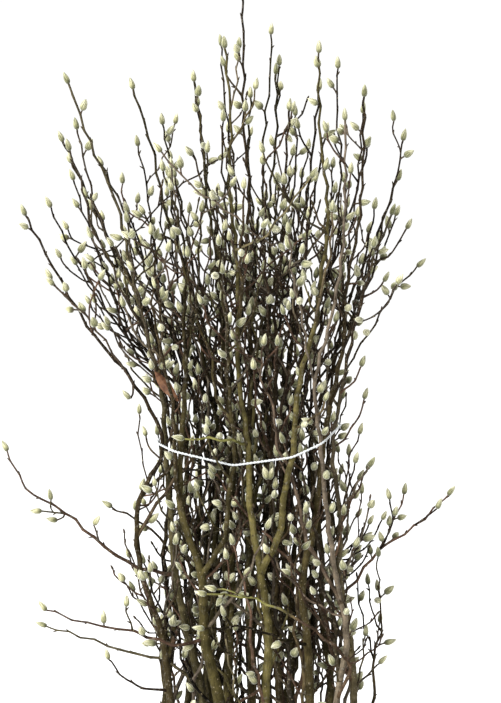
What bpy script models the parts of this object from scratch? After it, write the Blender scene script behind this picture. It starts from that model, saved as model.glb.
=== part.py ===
"""Tied bundle of star magnolia branches in winter bud, standing on its sawn ends.

Metres, +Z up. The origin is the middle of the sawn end of the middle branch, on the surface it stands on.
"""

import math
import random

import bmesh
import bpy
import numpy as np
from mathutils import Vector
from mathutils.bvhtree import BVHTree

# Driving dimensions of the whole bundle
TIE_HEIGHT = 0.6755           # the string's height on the bundle's axis
TIE_TILT_X = 0.060            # rise of the string per metre to the right
TIE_TILT_Y = 0.130            # rise of the string per metre to the back
TIE_BOW = 1.90                # and by how much of the squared distance it rises to both sides,
TIE_BOW_REACH = 0.132         # up to this distance
STRING_RADIUS = 0.0021
STRING_GAP = 0.0003           # between the string and the outermost stems
STRING_END = 0.030            # how far its two ends hang below the knot
KNOT_RADIUS = 0.0052
WAIST = 0.76                  # how far the tie draws a stem in, as a share of its foot's distance
WAIST_HEIGHT = 0.67
SAWN_LENGTH = 0.020           # upright length at a sawn end, so that the cut is level

# Wood and buds
TIP_RADIUS = 0.0019
STEM_TAPER = 1.55             # power of the taper from butt to tip
FORK_SHARE = 0.66             # a fork's radius where it leaves, as a share of its parent's
FORK_MOST_RADIUS = 0.0075
TWIG_RADIUS = 0.0019
TWIG_TIP_RADIUS = 0.0015
STEM_STEP = 0.110             # length of one straight piece of a stem
SHOOT_STEP = 0.073
BUD_LENGTH = 0.0215
BUD_RADIUS = 0.0052
BUD_SHAPE = ((0.32, 0.92), (0.62, 0.88), (1.0, 0.07))   # share of length, share of radius
SWAY = 0.0045                 # how far a shoot steps aside at each joint
CLEAR_GAP = 0.0012            # least space left between two branches
LEAN_GAP = 0.0003             # space where a bud leans on its neighbour

# Side twigs, placed by rule
SEED = 11
TWIGS_A_BRANCH = 4
TWIG_LENGTHS = (0.045, 0.130)
TWIG_LOWEST = 0.24
TWIG_HIGHEST = 1.38           # no side twig ends above this
TRIES = 30
GOLDEN_ANGLE = math.radians(137.508)

# Each branch: its butt's radius, the points its main stem passes from the ground up, the forks that rise from
# it as (height it leaves at, tip), and the side shoots that show, each as the points it passes.
BRANCHES = [
    {   # front left: a thick trunk that forks knee high into three leaders
        "butt": 0.0158,
        "stem": [(-0.045, -0.125, 0), (-0.056, -0.122, 0.25), (-0.073, -0.118, 0.34),
                 (-0.081, -0.115, 0.425),
                 (-0.092, -0.112, 0.476), (-0.110, -0.106, 0.53), (-0.118, -0.098, 0.60),
                 (-0.119, -0.094, 0.67),
                 (-0.115, -0.096, 0.78), (-0.108, -0.105, 0.90), (-0.112, -0.125, 1.02),
                 (-0.135, -0.140, 1.150)],
        "forks": [[(-0.083, -0.114, 0.440), (-0.065, -0.119, 0.493), (-0.048, -0.121, 0.527),
                   (-0.037, -0.117, 0.578), (-0.030, -0.112, 0.680), (-0.035, -0.120, 0.80),
                   (-0.045, -0.165, 0.95), (-0.052, -0.215, 1.065)],
                  (0.52, (-0.165, -0.175, 1.080)), (0.80, (-0.070, -0.170, 1.215))],
        "shoots": [[(-0.068, -0.119, 0.305), (-0.090, -0.130, 0.326), (-0.155, -0.132, 0.356),
                    (-0.223, -0.130, 0.378), (-0.292, -0.125, 0.386), (-0.344, -0.120, 0.397),
                    (-0.365, -0.118, 0.421)],
                   [(-0.200, -0.131, 0.372), (-0.214, -0.132, 0.400), (-0.212, -0.134, 0.437)]],
    },
    {   # front centre: a straight pale leader, and the pale fork that rises to the right
        "butt": 0.0112, "fork_share": 0.98,
        "stem": [(0.030, -0.120, 0), (0.030, -0.118, 0.25), (0.029, -0.115, 0.34), (0.022, -0.112, 0.425),
                 (0.014, -0.108, 0.493), (0.003, -0.102, 0.578), (-0.005, -0.098, 0.646),
                 (-0.012, -0.096, 0.731),
                 (-0.019, -0.100, 0.86), (-0.025, -0.112, 0.99), (-0.029, -0.120, 1.105),
                 (-0.036, -0.122, 1.24),
                 (-0.044, -0.120, 1.384)],
        "forks": [(0.88, (-0.010, -0.240, 1.160)),
                  [(0.014, -0.108, 0.470), (0.037, -0.112, 0.518), (0.053, -0.114, 0.55),
                   (0.061, -0.113, 0.61),
                   (0.068, -0.111, 0.672), (0.080, -0.111, 0.765), (0.097, -0.116, 0.867),
                   (0.117, -0.124, 0.952),
                   (0.126, -0.132, 1.06), (0.124, -0.138, 1.18), (0.110, -0.142, 1.245),
                   (0.112, -0.148, 1.377)]],
        "shoots": [[(0.110, -0.120, 0.92), (0.125, -0.165, 1.00), (0.135, -0.200, 1.120)],
                   [(0.124, -0.131, 1.045), (0.075, -0.165, 1.10), (0.035, -0.182, 1.155),
                    (0.014, -0.190, 1.215)],
                   [(-0.026, -0.114, 1.015), (0.030, -0.160, 1.065), (0.075, -0.178, 1.118),
                    (0.110, -0.182, 1.172)],
                   [(-0.012, -0.096, 0.715), (-0.059, -0.130, 0.712), (-0.093, -0.138, 0.714),
                    (-0.132, -0.142, 0.722)]],
    },
    {   # front right
        "butt": 0.0112,
        "stem": [(0.112, -0.100, 0), (0.102, -0.100, 0.25), (0.095, -0.097, 0.36), (0.0935, -0.093, 0.43),
                 (0.100, -0.086, 0.49), (0.112, -0.078, 0.58), (0.124, -0.070, 0.66),
                 (0.140, -0.072, 0.765),
                 (0.155, -0.080, 0.867), (0.168, -0.090, 0.97), (0.180, -0.098, 1.07),
                 (0.188, -0.104, 1.20),
                 (0.189, -0.110, 1.304)],
        "forks": [(0.86, (0.262, -0.060, 1.228)), (0.90, (0.146, -0.075, 1.350)),
                  (0.74, (0.205, -0.190, 1.060))],
        "shoots": [[(0.095, -0.097, 0.34), (0.068, -0.135, 0.357), (0.0, -0.146, 0.379),
                    (-0.048, -0.150, 0.377),
                    (-0.100, -0.152, 0.384)]],
    },
    {   # left: leads up into the highest tips on the left
        "butt": 0.0108,
        "stem": [(-0.085, -0.062, 0), (-0.092, -0.063, 0.25), (-0.105, -0.064, 0.34),
                 (-0.122, -0.063, 0.41),
                 (-0.134, -0.061, 0.47), (-0.140, -0.058, 0.53), (-0.143, -0.054, 0.60),
                 (-0.143, -0.050, 0.68),
                 (-0.155, -0.056, 0.765), (-0.172, -0.062, 0.85), (-0.190, -0.068, 0.935),
                 (-0.215, -0.074, 1.05),
                 (-0.250, -0.080, 1.16), (-0.280, -0.082, 1.25), (-0.313, -0.082, 1.323)],
        "forks": [(0.93, (-0.299, -0.045, 1.246)), (0.86, (-0.306, -0.125, 1.215)),
                  (0.74, (-0.205, -0.180, 1.100))],
        "shoots": [[(-0.130, -0.061, 0.43), (-0.192, -0.050, 0.458), (-0.253, -0.046, 0.502),
                    (-0.306, -0.042, 0.546), (-0.370, -0.036, 0.580), (-0.410, -0.032, 0.633),
                    (-0.432, -0.030, 0.686)],
                   [(-0.332, -0.040, 0.556), (-0.358, -0.047, 0.563), (-0.385, -0.050, 0.564)],
                   [(-0.310, -0.041, 0.549), (-0.335, -0.024, 0.541), (-0.360, -0.018, 0.542)],
                   [(-0.366, -0.036, 0.578), (-0.350, -0.050, 0.604)],
                   [(-0.279, -0.044, 0.523), (-0.274, -0.062, 0.540), (-0.261, -0.068, 0.560)],
                   [(-0.099, -0.063, 0.26), (-0.145, -0.052, 0.290), (-0.194, -0.050, 0.304),
                    (-0.273, -0.046, 0.330), (-0.334, -0.052, 0.347), (-0.377, -0.056, 0.366)],
                   [(-0.157, -0.056, 0.765), (-0.162, -0.085, 0.790), (-0.170, -0.122, 0.842)]],
    },
    {   # far left: bows out below the string, then arches out to the widest tip
        "butt": 0.0094,
        "stem": [(-0.132, -0.088, 0), (-0.139, -0.089, 0.22), (-0.148, -0.090, 0.343),
                 (-0.173, -0.090, 0.397),
                 (-0.190, -0.090, 0.451), (-0.201, -0.086, 0.503), (-0.200, -0.084, 0.538),
                 (-0.193, -0.080, 0.573),
                 (-0.176, -0.076, 0.607), (-0.148, -0.070, 0.662), (-0.172, -0.068, 0.728),
                 (-0.209, -0.070, 0.807),
                 (-0.251, -0.072, 0.865), (-0.290, -0.074, 0.912), (-0.343, -0.076, 0.998),
                 (-0.367, -0.078, 1.049),
                 (-0.388, -0.078, 1.102)],
        "forks": [],
        "shoots": [[(-0.290, -0.074, 0.912), (-0.271, -0.084, 0.945), (-0.246, -0.090, 0.992)],
                   [(-0.184, -0.068, 0.75), (-0.201, -0.085, 0.762), (-0.218, -0.095, 0.786)],
                   [(-0.1445, -0.089, 0.21), (-0.192, -0.092, 0.254), (-0.218, -0.095, 0.273),
                    (-0.243, -0.100, 0.301), (-0.253, -0.100, 0.332)],
                   [(-0.235, -0.071, 0.84), (-0.262, -0.082, 0.92), (-0.284, -0.088, 1.013)],
                   [(-0.225, -0.071, 0.83), (-0.275, -0.115, 0.915), (-0.345, -0.130, 0.985)]],
    },
    {   # front right, a slender reddish stem that crosses in front of its neighbour
        "butt": 0.0082,
        "stem": [(0.150, -0.112, 0), (0.155, -0.112, 0.25), (0.1615, -0.114, 0.357), (0.152, -0.115, 0.44),
                 (0.139, -0.115, 0.527), (0.129, -0.112, 0.595), (0.117, -0.108, 0.68),
                 (0.112, -0.112, 0.78),
                 (0.130, -0.122, 0.90), (0.150, -0.130, 1.00), (0.160, -0.140, 1.12),
                 (0.155, -0.150, 1.267)],
        "forks": [(0.82, (0.060, -0.265, 1.090))],
        "shoots": [[(0.160, -0.113, 0.24), (0.173, -0.124, 0.299), (0.137, -0.140, 0.349),
                    (0.085, -0.152, 0.397),
                    (0.043, -0.156, 0.425), (0.0, -0.158, 0.434), (-0.048, -0.155, 0.439),
                    (-0.096, -0.150, 0.446)],
                   [(0.000, -0.158, 0.434), (-0.042, -0.166, 0.450), (-0.078, -0.170, 0.462)]],
    },
    {   # far right
        "butt": 0.0098,
        "stem": [(0.180, -0.042, 0), (0.180, -0.042, 0.25), (0.173, -0.041, 0.34), (0.162, -0.039, 0.425),
                 (0.154, -0.036, 0.527), (0.148, -0.034, 0.62), (0.147, -0.033, 0.70),
                 (0.160, -0.034, 0.79),
                 (0.180, -0.038, 0.90), (0.213, -0.042, 1.00), (0.247, -0.046, 1.100)],
        "forks": [],
        "shoots": [[(0.150, -0.033, 0.74), (0.191, -0.020, 0.852), (0.234, -0.012, 0.920),
                    (0.266, -0.012, 0.969),
                    (0.304, -0.010, 1.001)],
                   [(0.160, -0.036, 0.775), (0.181, -0.054, 0.795), (0.197, -0.060, 0.840)],
                   [(0.150, -0.035, 0.55), (0.170, -0.052, 0.590), (0.195, -0.062, 0.630),
                    (0.215, -0.066, 0.664)],
                   [(0.148, -0.033, 0.60), (0.166, -0.020, 0.635), (0.185, -0.012, 0.670),
                    (0.195, -0.008, 0.713)],
                   [(0.151, -0.036, 0.59), (0.172, -0.062, 0.625), (0.186, -0.072, 0.673)],
                   [(0.180, -0.042, 0.215), (0.198, -0.052, 0.258), (0.213, -0.056, 0.276),
                    (0.240, -0.060, 0.307)],
                   [(0.180, -0.042, 0.18), (0.192, -0.035, 0.270), (0.206, -0.030, 0.354)]],
    },
    {   # right, middle row: carries the long low twigs on the right
        "butt": 0.0098, "foot": (0.145, 0.004), "tip": (0.260, 0.004, 1.155),
        "forks": [(0.78, (0.196, 0.030, 1.270)), (0.76, (0.222, 0.055, 1.030)),
                  (0.28, (0.215, -0.035, 1.110))],
        "shoots": [[(0.134, 0.003, 0.375), (0.168, -0.010, 0.411), (0.203, -0.014, 0.458),
                    (0.255, -0.020, 0.504),
                    (0.333, -0.026, 0.569), (0.358, -0.028, 0.604)],
                   [(0.240, -0.018, 0.491), (0.250, -0.030, 0.545), (0.239, -0.036, 0.602)],
                   [(0.245, -0.019, 0.496), (0.266, 0.000, 0.555), (0.274, 0.008, 0.602)],
                   [(0.298, -0.023, 0.541), (0.320, -0.036, 0.553), (0.334, -0.043, 0.585)],
                   [(0.140, 0.002, 0.50), (0.180, 0.020, 0.560), (0.215, 0.030, 0.640)]],
    },
    {   # second row, left of centre
        "butt": 0.0092, "foot": (-0.040, -0.055), "tip": (-0.097, -0.070, 1.328),
        "forks": [(0.72, (-0.150, -0.110, 1.180)), (0.80, (-0.045, -0.150, 1.265)),
                  (0.26, (-0.062, -0.105, 1.120))],
        "shoots": [],
    },
    {   # left, middle row
        "butt": 0.0096, "foot": (-0.152, 0.010), "tip": (-0.333, 0.020, 1.220),
        "forks": [(0.74, (-0.352, -0.020, 1.110)), (0.84, (-0.318, 0.075, 1.150)),
                  (0.20, (-0.280, -0.035, 1.060))],
        "shoots": [[(-0.128, 0.008, 0.50), (-0.170, 0.004, 0.5185), (-0.221, -0.002, 0.544),
                    (-0.262, -0.006, 0.572)],
                   [(-0.170, 0.012, 0.90), (-0.225, -0.020, 0.960), (-0.2856, -0.030, 1.012)]],
    },
    {   # the middle branch, with the highest tip
        "butt": 0.0108, "foot": (0.0, 0.0), "tip": (-0.014, 0.000, 1.466),
        "forks": [(0.86, (0.036, 0.020, 1.405)), (0.74, (0.075, -0.020, 1.200)),
                  (0.98, (-0.052, 0.030, 1.385))],
        "shoots": [],
    },
    {   # second row, right of centre
        "butt": 0.0090, "foot": (0.050, -0.055), "tip": (0.066, -0.075, 1.280),
        "forks": [(0.74, (0.020, -0.160, 1.195)), (0.78, (0.110, -0.140, 1.165)),
                  (0.22, (0.100, -0.095, 1.100))],
        "shoots": [[(0.062, -0.070, 1.01), (0.020, -0.135, 1.050), (-0.040, -0.160, 1.095),
                    (-0.105, -0.172, 1.150), (-0.160, -0.176, 1.212)]],
    },
    {   # middle row, left of centre
        "butt": 0.0098, "foot": (-0.075, 0.005), "tip": (-0.206, -0.005, 1.312),
        "forks": [(0.86, (-0.155, 0.040, 1.250)), (0.74, (-0.215, -0.060, 1.105)),
                  (0.30, (-0.150, 0.030, 1.100))],
        "shoots": [],
    },
    {   # middle row, right of centre
        "butt": 0.0094, "foot": (0.075, 0.002), "tip": (0.120, 0.020, 1.310),
        "forks": [(0.84, (0.078, 0.050, 1.265)), (0.74, (0.170, -0.010, 1.110)),
                  (0.24, (0.150, 0.055, 1.130))],
        "shoots": [],
    },
    {   # third row, left
        "butt": 0.0088, "foot": (-0.118, 0.064), "tip": (-0.272, 0.130, 1.170),
        "forks": [(0.76, (-0.205, 0.165, 1.205)), (0.73, (-0.325, 0.140, 0.990)),
                  (0.18, (-0.225, 0.085, 1.050))],
        "shoots": [[(-0.100, 0.055, 0.44), (-0.150, 0.105, 0.480), (-0.205, 0.170, 0.540)]],
    },
    {   # third row, left of centre
        "butt": 0.0094, "foot": (-0.040, 0.058), "tip": (-0.095, 0.105, 1.280),
        "forks": [(0.80, (-0.140, 0.150, 1.150)), (0.24, (-0.045, 0.150, 1.080))],
        "shoots": [],
    },
    {   # third row, right of centre
        "butt": 0.0092, "foot": (0.036, 0.058), "tip": (0.045, 0.095, 1.335),
        "forks": [(0.80, (0.105, 0.140, 1.200)), (0.28, (0.075, 0.150, 1.110))],
        "shoots": [],
    },
    {   # third row, right
        "butt": 0.0090, "foot": (0.112, 0.064), "tip": (0.212, 0.120, 1.205),
        "forks": [(0.76, (0.268, 0.150, 1.080)), (0.82, (0.150, 0.180, 1.165)),
                  (0.20, (0.230, 0.080, 1.040))],
        "shoots": [[(0.098, 0.056, 0.40), (0.150, 0.100, 0.450), (0.205, 0.160, 0.520)]],
    },
    {   # back row, left
        "butt": 0.0090, "foot": (-0.078, 0.120), "tip": (-0.150, 0.235, 1.175),
        "forks": [(0.75, (-0.060, 0.275, 1.110)), (0.76, (-0.215, 0.235, 1.010))],
        "shoots": [[(-0.066, 0.104, 0.36), (-0.100, 0.160, 0.390), (-0.135, 0.225, 0.450)]],
    },
    {   # back row, centre
        "butt": 0.0096, "foot": (0.0, 0.125), "tip": (0.000, 0.195, 1.290),
        "forks": [(0.76, (0.052, 0.265, 1.130)), (0.84, (-0.045, 0.220, 1.180))],
        "shoots": [[(0.0, 0.105, 0.50), (0.030, 0.160, 0.530), (0.035, 0.235, 0.590)]],
    },
    {   # back row, right
        "butt": 0.0090, "foot": (0.078, 0.120), "tip": (0.140, 0.220, 1.225),
        "forks": [(0.76, (0.205, 0.240, 1.060)), (0.82, (0.095, 0.265, 1.140))],
        "shoots": [[(0.070, 0.110, 0.30), (0.110, 0.160, 0.330), (0.160, 0.215, 0.400)]],
    },
]

# The dry leaf hangs on the last side shoot of this branch
LEAF_BRANCH = 3
LEAF_SHOOT = -1
LEAF_HANGS_TO = (0.043, -0.012, -0.054)     # from its stalk to its tip
LEAF_HALF_WIDTH = 0.0085
LEAF_THICKNESS = 0.0008
LEAF_FOLD = math.radians(38)
LEAF_GAP = 0.0004


def unit(vector):
    return vector / np.linalg.norm(vector)


def flowing(points, count):
    """count points, evenly spaced, on a smooth curve through the given ones."""
    points = np.array(points, float)
    padded = np.vstack([2 * points[0] - points[1], points, 2 * points[-1] - points[-2]])
    fine = []
    for a, b, c, d in zip(padded, padded[1:], padded[2:], padded[3:]):
        for t in np.arange(12) / 12:
            fine.append(0.5 * (2 * b + (c - a) * t + (2 * a - 5 * b + 4 * c - d) * t**2
                               + (3 * b - a - 3 * c + d) * t**3))
    fine = np.array(fine + [points[-1]])
    along = np.append(0, np.cumsum(np.linalg.norm(np.diff(fine, axis=0), axis=1)))
    wanted = np.linspace(0, along[-1], count)
    return np.stack([np.interp(wanted, along, fine[:, k]) for k in range(3)], axis=1)


def length_of(points):
    return np.linalg.norm(np.diff(np.array(points, float), axis=0), axis=1).sum()


def side_of(direction, angle):
    """A unit vector square to direction, turned by angle round it."""
    across = unit(np.cross(direction, (0.31, 0.95, 0.05)))
    other = np.cross(direction, across)
    return across * math.cos(angle) + other * math.sin(angle)


def jointed(points, sway, turn):
    """The path with each inner point stepped aside, to a new side each time, as twigs bend at joints."""
    bent = points.copy()
    for i in range(1, len(points) - 1):
        direction = unit(points[i + 1] - points[i - 1])
        bent[i] += side_of(direction, turn + GOLDEN_ANGLE * i) * sway
    return bent


def with_bud(points, radii, direction, length=BUD_LENGTH, radius=BUD_RADIUS):
    """The path carried on into a bud: it swells and closes to a point."""
    neck = points[-1]
    for along, share in BUD_SHAPE:
        points = np.vstack([points, neck + unit(direction) * length * along])
        radii = np.append(radii, radius * share)
    return points, radii


def rod_gaps(a, b, c, d):
    """Shortest distances between the rods from a to b and those from c to d, for each pair."""
    u, v, w = (b - a)[:, None], (d - c)[None], a[:, None] - c[None]
    uu, uv, vv = (u * u).sum(-1), (u * v).sum(-1), (v * v).sum(-1)
    uw, vw = (u * w).sum(-1), (v * w).sum(-1)
    square = np.maximum(uu * vv - uv * uv, 1e-18)
    s = np.clip((uv * vw - vv * uw) / square, 0, 1)
    t = np.clip((uv * s + vw) / vv, 0, 1)
    s = np.clip((uv * t - uw) / uu, 0, 1)
    return np.linalg.norm(w + s[..., None] * u - t[..., None] * v, axis=-1)


class Thicket:
    """Every shoot placed so far, as rods, so that new growth can be kept clear of it."""

    def __init__(self):
        self.ends = np.zeros((0, 2, 3))
        self.radii = np.zeros(0)
        self.branch = np.zeros(0, int)
        self.path = np.zeros(0, int)

    def add(self, points, radii, branch, path):
        count = len(points) - 1
        self.ends = np.concatenate([self.ends, np.stack([points[:-1], points[1:]], axis=1)])
        self.radii = np.append(self.radii, np.maximum(radii[:-1], radii[1:]))
        self.branch = np.append(self.branch, np.full(count, branch))
        self.path = np.append(self.path, np.full(count, path))

    def is_clear(self, points, radii, gap, but_branch=None, but_paths=()):
        """True if the shoot keeps gap from all but a branch, or but some paths, that it may touch."""
        reach = radii.max() + gap + 0.015
        low, high = points.min(0) - reach, points.max(0) + reach
        near = ((self.ends.max(1) > low) & (self.ends.min(1) < high)).all(1)
        if but_branch is not None:
            near &= self.branch != but_branch
        for path in but_paths:
            near &= self.path != path
        if not near.any():
            return True
        apart = rod_gaps(points[:-1], points[1:], self.ends[near, 0], self.ends[near, 1])
        thick = np.maximum(radii[:-1], radii[1:])[:, None] + self.radii[near][None]
        return bool((apart - thick).min() > gap)


def nudges():
    """Steps aside to try, nearest first: mostly in depth, then a little sideways as well."""
    steps = [(x * 0.006, y * 0.008) for y in range(-9, 10) for x in range(-3, 4)]
    return sorted(steps, key=lambda s: abs(s[1]) + 3.5 * abs(s[0]))


def bent_clear(points, radii, thicket, branch, fixed, name):
    """The shoot moved aside by the smallest step that clears the other branches. Its root stays in place."""
    along = np.append(0, np.cumsum(np.linalg.norm(np.diff(points, axis=0), axis=1)))
    share = np.clip(along / fixed, 0, 1)[:, None]
    for x, y in nudges():
        moved = points + share * np.array([x, y, 0.0])
        if thicket.is_clear(moved, radii, CLEAR_GAP, but_branch=branch):
            return moved
    raise ValueError(f"{name} finds no clear way: move its points")


def sheaf_stem(foot, tip):
    """Points of a stem that leans in to the tie and out again above it, from its foot to its tip."""
    foot, tip = np.array((*foot, 0.0)), np.array(tip)
    waist = np.array((foot[0] * WAIST, foot[1] * WAIST, WAIST_HEIGHT))
    shoulder = waist + (tip - waist) * (0.30, 0.30, 0.40)
    return [foot, foot * 0.97 + (0, 0, 0.22), foot * 0.86 + (0, 0, 0.45), waist, shoulder, tip]


def point_at_height(path, height):
    """Index of the path's point nearest to that height."""
    return int(np.argmin(abs(path["points"][:path["wood"], 2] - height)))


def string_height(x, y):
    """Height of the string over a place: it slants, and hangs lower in the middle than at the sides."""
    return TIE_HEIGHT + TIE_TILT_X * x + TIE_TILT_Y * y + TIE_BOW * np.minimum(abs(x), TIE_BOW_REACH) ** 2


def fork_path(stem, root, tip):
    """Points of a fork, which leaves its stem at a wide angle and then turns up.

    One that leaves below the tie keeps close beside its stem until it is past the string.
    """
    tip = np.array(tip)
    step = tip - root
    if root[2] > string_height(root[0], root[1]) + 0.015:
        return [root, root + step * (0.16, 0.16, 0.10), root + step * (0.58, 0.58, 0.46), tip]
    tie = string_height(root[0], root[1]) + 0.015
    waist = np.array([np.interp(tie, stem[:, 2], stem[:, k]) for k in range(3)])
    beside = waist + unit((tip - waist) * (1, 1, 0)) * 0.016
    lower, upper = (root + waist) / 2 + (beside - waist) * 0.9, beside + (tip - beside) * (0.5, 0.5, 0.42)
    return [root, lower, beside, upper, tip]


def grow_stems(thicket, grown):
    """The main stem of each branch, from its level sawn end to the bud at its tip."""
    for number, branch in enumerate(BRANCHES):
        route = branch.get("stem") or sheaf_stem(branch["foot"], branch["tip"])
        route = [np.array(p, float) for p in route]
        end_direction = unit(route[-1] - route[-2])
        route[-1] = route[-1] - end_direction * BUD_LENGTH
        sawn = route[0] + (0, 0, SAWN_LENGTH)
        route = [sawn, *route[1:]]
        count = round(length_of(route) / STEM_STEP) + 1
        points = jointed(flowing(route, count), SWAY, number * 1.7)
        points = np.vstack([sawn - (0, 0, SAWN_LENGTH), points])
        share = np.linspace(0, 1, len(points))
        radii = TIP_RADIUS + (branch["butt"] - TIP_RADIUS) * (1 - share) ** STEM_TAPER
        wood = len(points)
        points, radii = with_bud(points, radii, end_direction)
        points = bent_clear(points, radii, thicket, number, 0.35, f"stem {number + 1}")
        thicket.add(points, radii, number, len(grown))
        grown.append({"branch": number, "kind": "stem", "points": points, "radii": radii, "wood": wood})


def place_shoot(thicket, grown, number, route, root, kind):
    """A hand-placed fork or side shoot that starts on the wood of its own branch."""
    parent, index = root
    share = BRANCHES[number].get("fork_share", FORK_SHARE) if kind == "fork" else FORK_SHARE
    start_radius = min(grown[parent]["radii"][index] * share, FORK_MOST_RADIUS)
    if kind == "shoot":
        start_radius = min(start_radius, TWIG_RADIUS + 0.004 * length_of(route))
    route = [grown[parent]["points"][index], *[np.array(p, float) for p in route[1:]]]
    end_direction = unit(route[-1] - route[-2])
    route[-1] = route[-1] - end_direction * BUD_LENGTH
    count = max(3, round(length_of(route) / SHOOT_STEP) + 1)
    points = jointed(flowing(route, count), SWAY * 0.8, number * 2.3 + len(grown))
    radii = np.linspace(start_radius, TWIG_TIP_RADIUS, len(points))
    wood = len(points)
    points, radii = with_bud(points, radii, end_direction)
    name = f"{kind} {len(grown)} of branch {number + 1}"
    points = bent_clear(points, radii, thicket, number, 0.08, name)
    thicket.add(points, radii, number, len(grown))
    grown.append({"branch": number, "kind": kind, "points": points, "radii": radii, "wood": wood})


def nearest_wood(grown, number, point):
    """(path, index) of the point on this branch's wood nearest to a given one."""
    found = [(np.linalg.norm(path["points"][:path["wood"] - 1] - point, axis=1), k)
             for k, path in enumerate(grown) if path["branch"] == number]
    gaps, k = min(found, key=lambda item: item[0].min())
    return k, int(np.argmin(gaps))


def grow_forks(thicket, grown):
    for number, branch in enumerate(BRANCHES):
        for fork in branch["forks"]:
            if len(fork) > 2:
                root = nearest_wood(grown, number, np.array(fork[0]))
                place_shoot(thicket, grown, number, fork, root, "fork")
                continue
            index = point_at_height(grown[number], fork[0])
            stem = grown[number]["points"]
            route = fork_path(stem, stem[index], fork[1])
            place_shoot(thicket, grown, number, route, (number, index), "fork")


def grow_shoots(thicket, grown):
    for number, branch in enumerate(BRANCHES):
        for route in branch["shoots"]:
            root = nearest_wood(grown, number, np.array(route[0]))
            place_shoot(thicket, grown, number, route, root, "shoot")


def twig(root, direction, side, length, draw):
    """Points of a side twig that leaves at a wide angle and turns up, up to the neck of its bud."""
    lean = math.radians(draw.uniform(38, 62))
    out = direction * math.cos(lean) + side * math.sin(lean)
    up = unit(out * 0.55 + np.array((0, 0, 0.55)) + direction * 0.2)
    first = root + out * length * 0.4
    second = first + unit(out * 0.55 + up * 0.45) * length * 0.32
    points = np.array([root, first, second, second + up * length * 0.28])
    return jointed(points, 0.0012, draw.uniform(0, 6)), up


def grow_leaning_twigs(thicket, grown):
    """The shortest side buds that reach from one stem to the next and rest on it, as few as hold all branches
    together in one group."""
    reaches = []
    for k in range(len(BRANCHES)):
        for i in range(4, grown[k]["wood"] - 2):
            root = grown[k]["points"][i]
            if abs(root[2] - TIE_HEIGHT) < 0.03 or root[2] > 1.15:
                continue
            for other in range(len(BRANCHES)):
                to = grown[other]
                a, b = to["points"][3:to["wood"] - 1], to["points"][4:to["wood"]]
                t = np.clip(((root - a) * (b - a)).sum(1) / ((b - a) ** 2).sum(1), 0.04, 0.96)
                thick = to["radii"][3:to["wood"] - 1] * (1 - t) + to["radii"][4:to["wood"]] * t
                for spot, radius in zip(a + (b - a) * t[:, None], thick):
                    span = np.linalg.norm(spot - root)
                    if other != k and BUD_LENGTH + 0.016 < span < 0.120:
                        reaches.append((span, k, other, tuple(root), tuple(spot), radius))
    group = list(range(len(BRANCHES)))
    for span, k, other, root, spot, radius in sorted(reaches):
        if group[k] == group[other]:
            continue
        root, spot = np.array(root), np.array(spot)
        neck = spot - unit(spot - root) * (radius + LEAN_GAP + BUD_LENGTH)
        radii = np.array([TWIG_RADIUS, TWIG_TIP_RADIUS])
        points, radii = with_bud(np.array([root, neck]), radii, spot - root)
        if thicket.is_clear(points, radii, CLEAR_GAP / 2, but_paths=(k, other)):
            thicket.add(points, radii, k, len(grown))
            shoot = {"branch": k, "kind": "lean", "points": points, "radii": radii, "wood": 2, "on": other}
            grown.append(shoot)
            group = [group[k] if g == group[other] else g for g in group]
    if len(set(group)) > 1:
        raise ValueError(f"the branches stand in separate groups: {group}")


def grow_twigs(thicket, grown, draw, each, gap):
    """Side twigs by rule: spread evenly along each branch's wood and turned by the golden angle.

    Each is redrawn until it keeps clear of everything but its own parent.
    """
    for number in range(len(BRANCHES)):
        parents = [k for k, p in enumerate(grown) if p["branch"] == number and p["kind"] in ("stem", "fork")]
        for n in range(each):
            for _ in range(TRIES):
                parent = parents[int(draw.random() * len(parents))]
                path = grown[parent]
                share = (0.18 + 0.8 * ((n * 0.618 + draw.random() * 0.35) % 1)) * (path["wood"] - 1)
                index = min(int(share), path["wood"] - 2)
                along = share - index
                a, b = path["points"][index], path["points"][index + 1]
                root = a + (b - a) * along
                if root[2] < TWIG_LOWEST:
                    continue
                angle = GOLDEN_ANGLE * (n + number) + draw.uniform(-0.8, 0.8)
                direction = unit(b - a)
                length = draw.uniform(*TWIG_LENGTHS)
                points, up = twig(root, direction, side_of(direction, angle), length, draw)
                if points[-1][2] > TWIG_HIGHEST:
                    continue
                thin = min(TWIG_RADIUS, path["radii"][index + 1] * 0.85)
                radii = np.linspace(thin, TWIG_TIP_RADIUS, len(points))
                size = draw.uniform(0.88, 1.06)
                points, radii = with_bud(points, radii, up, BUD_LENGTH * size, BUD_RADIUS * size)
                if thicket.is_clear(points, radii, gap, but_paths=(parent,)):
                    thicket.add(points, radii, number, len(grown))
                    shoot = {"branch": number, "kind": "twig", "points": points, "radii": radii, "wood": 4}
                    grown.append(shoot)
                    break


def convex_outline(points):
    """Corners of the convex outline of points (x, y), in order round it."""
    outline = []
    for run in (sorted(points), sorted(points, reverse=True)):
        half = []
        for p in run:
            while len(half) > 1 and ((half[-1][0] - half[-2][0]) * (p[1] - half[-2][1])
                                     - (half[-1][1] - half[-2][1]) * (p[0] - half[-2][0])) <= 0:
                half.pop()
            half.append(p)
        outline += half[:-1]
    return outline


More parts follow.
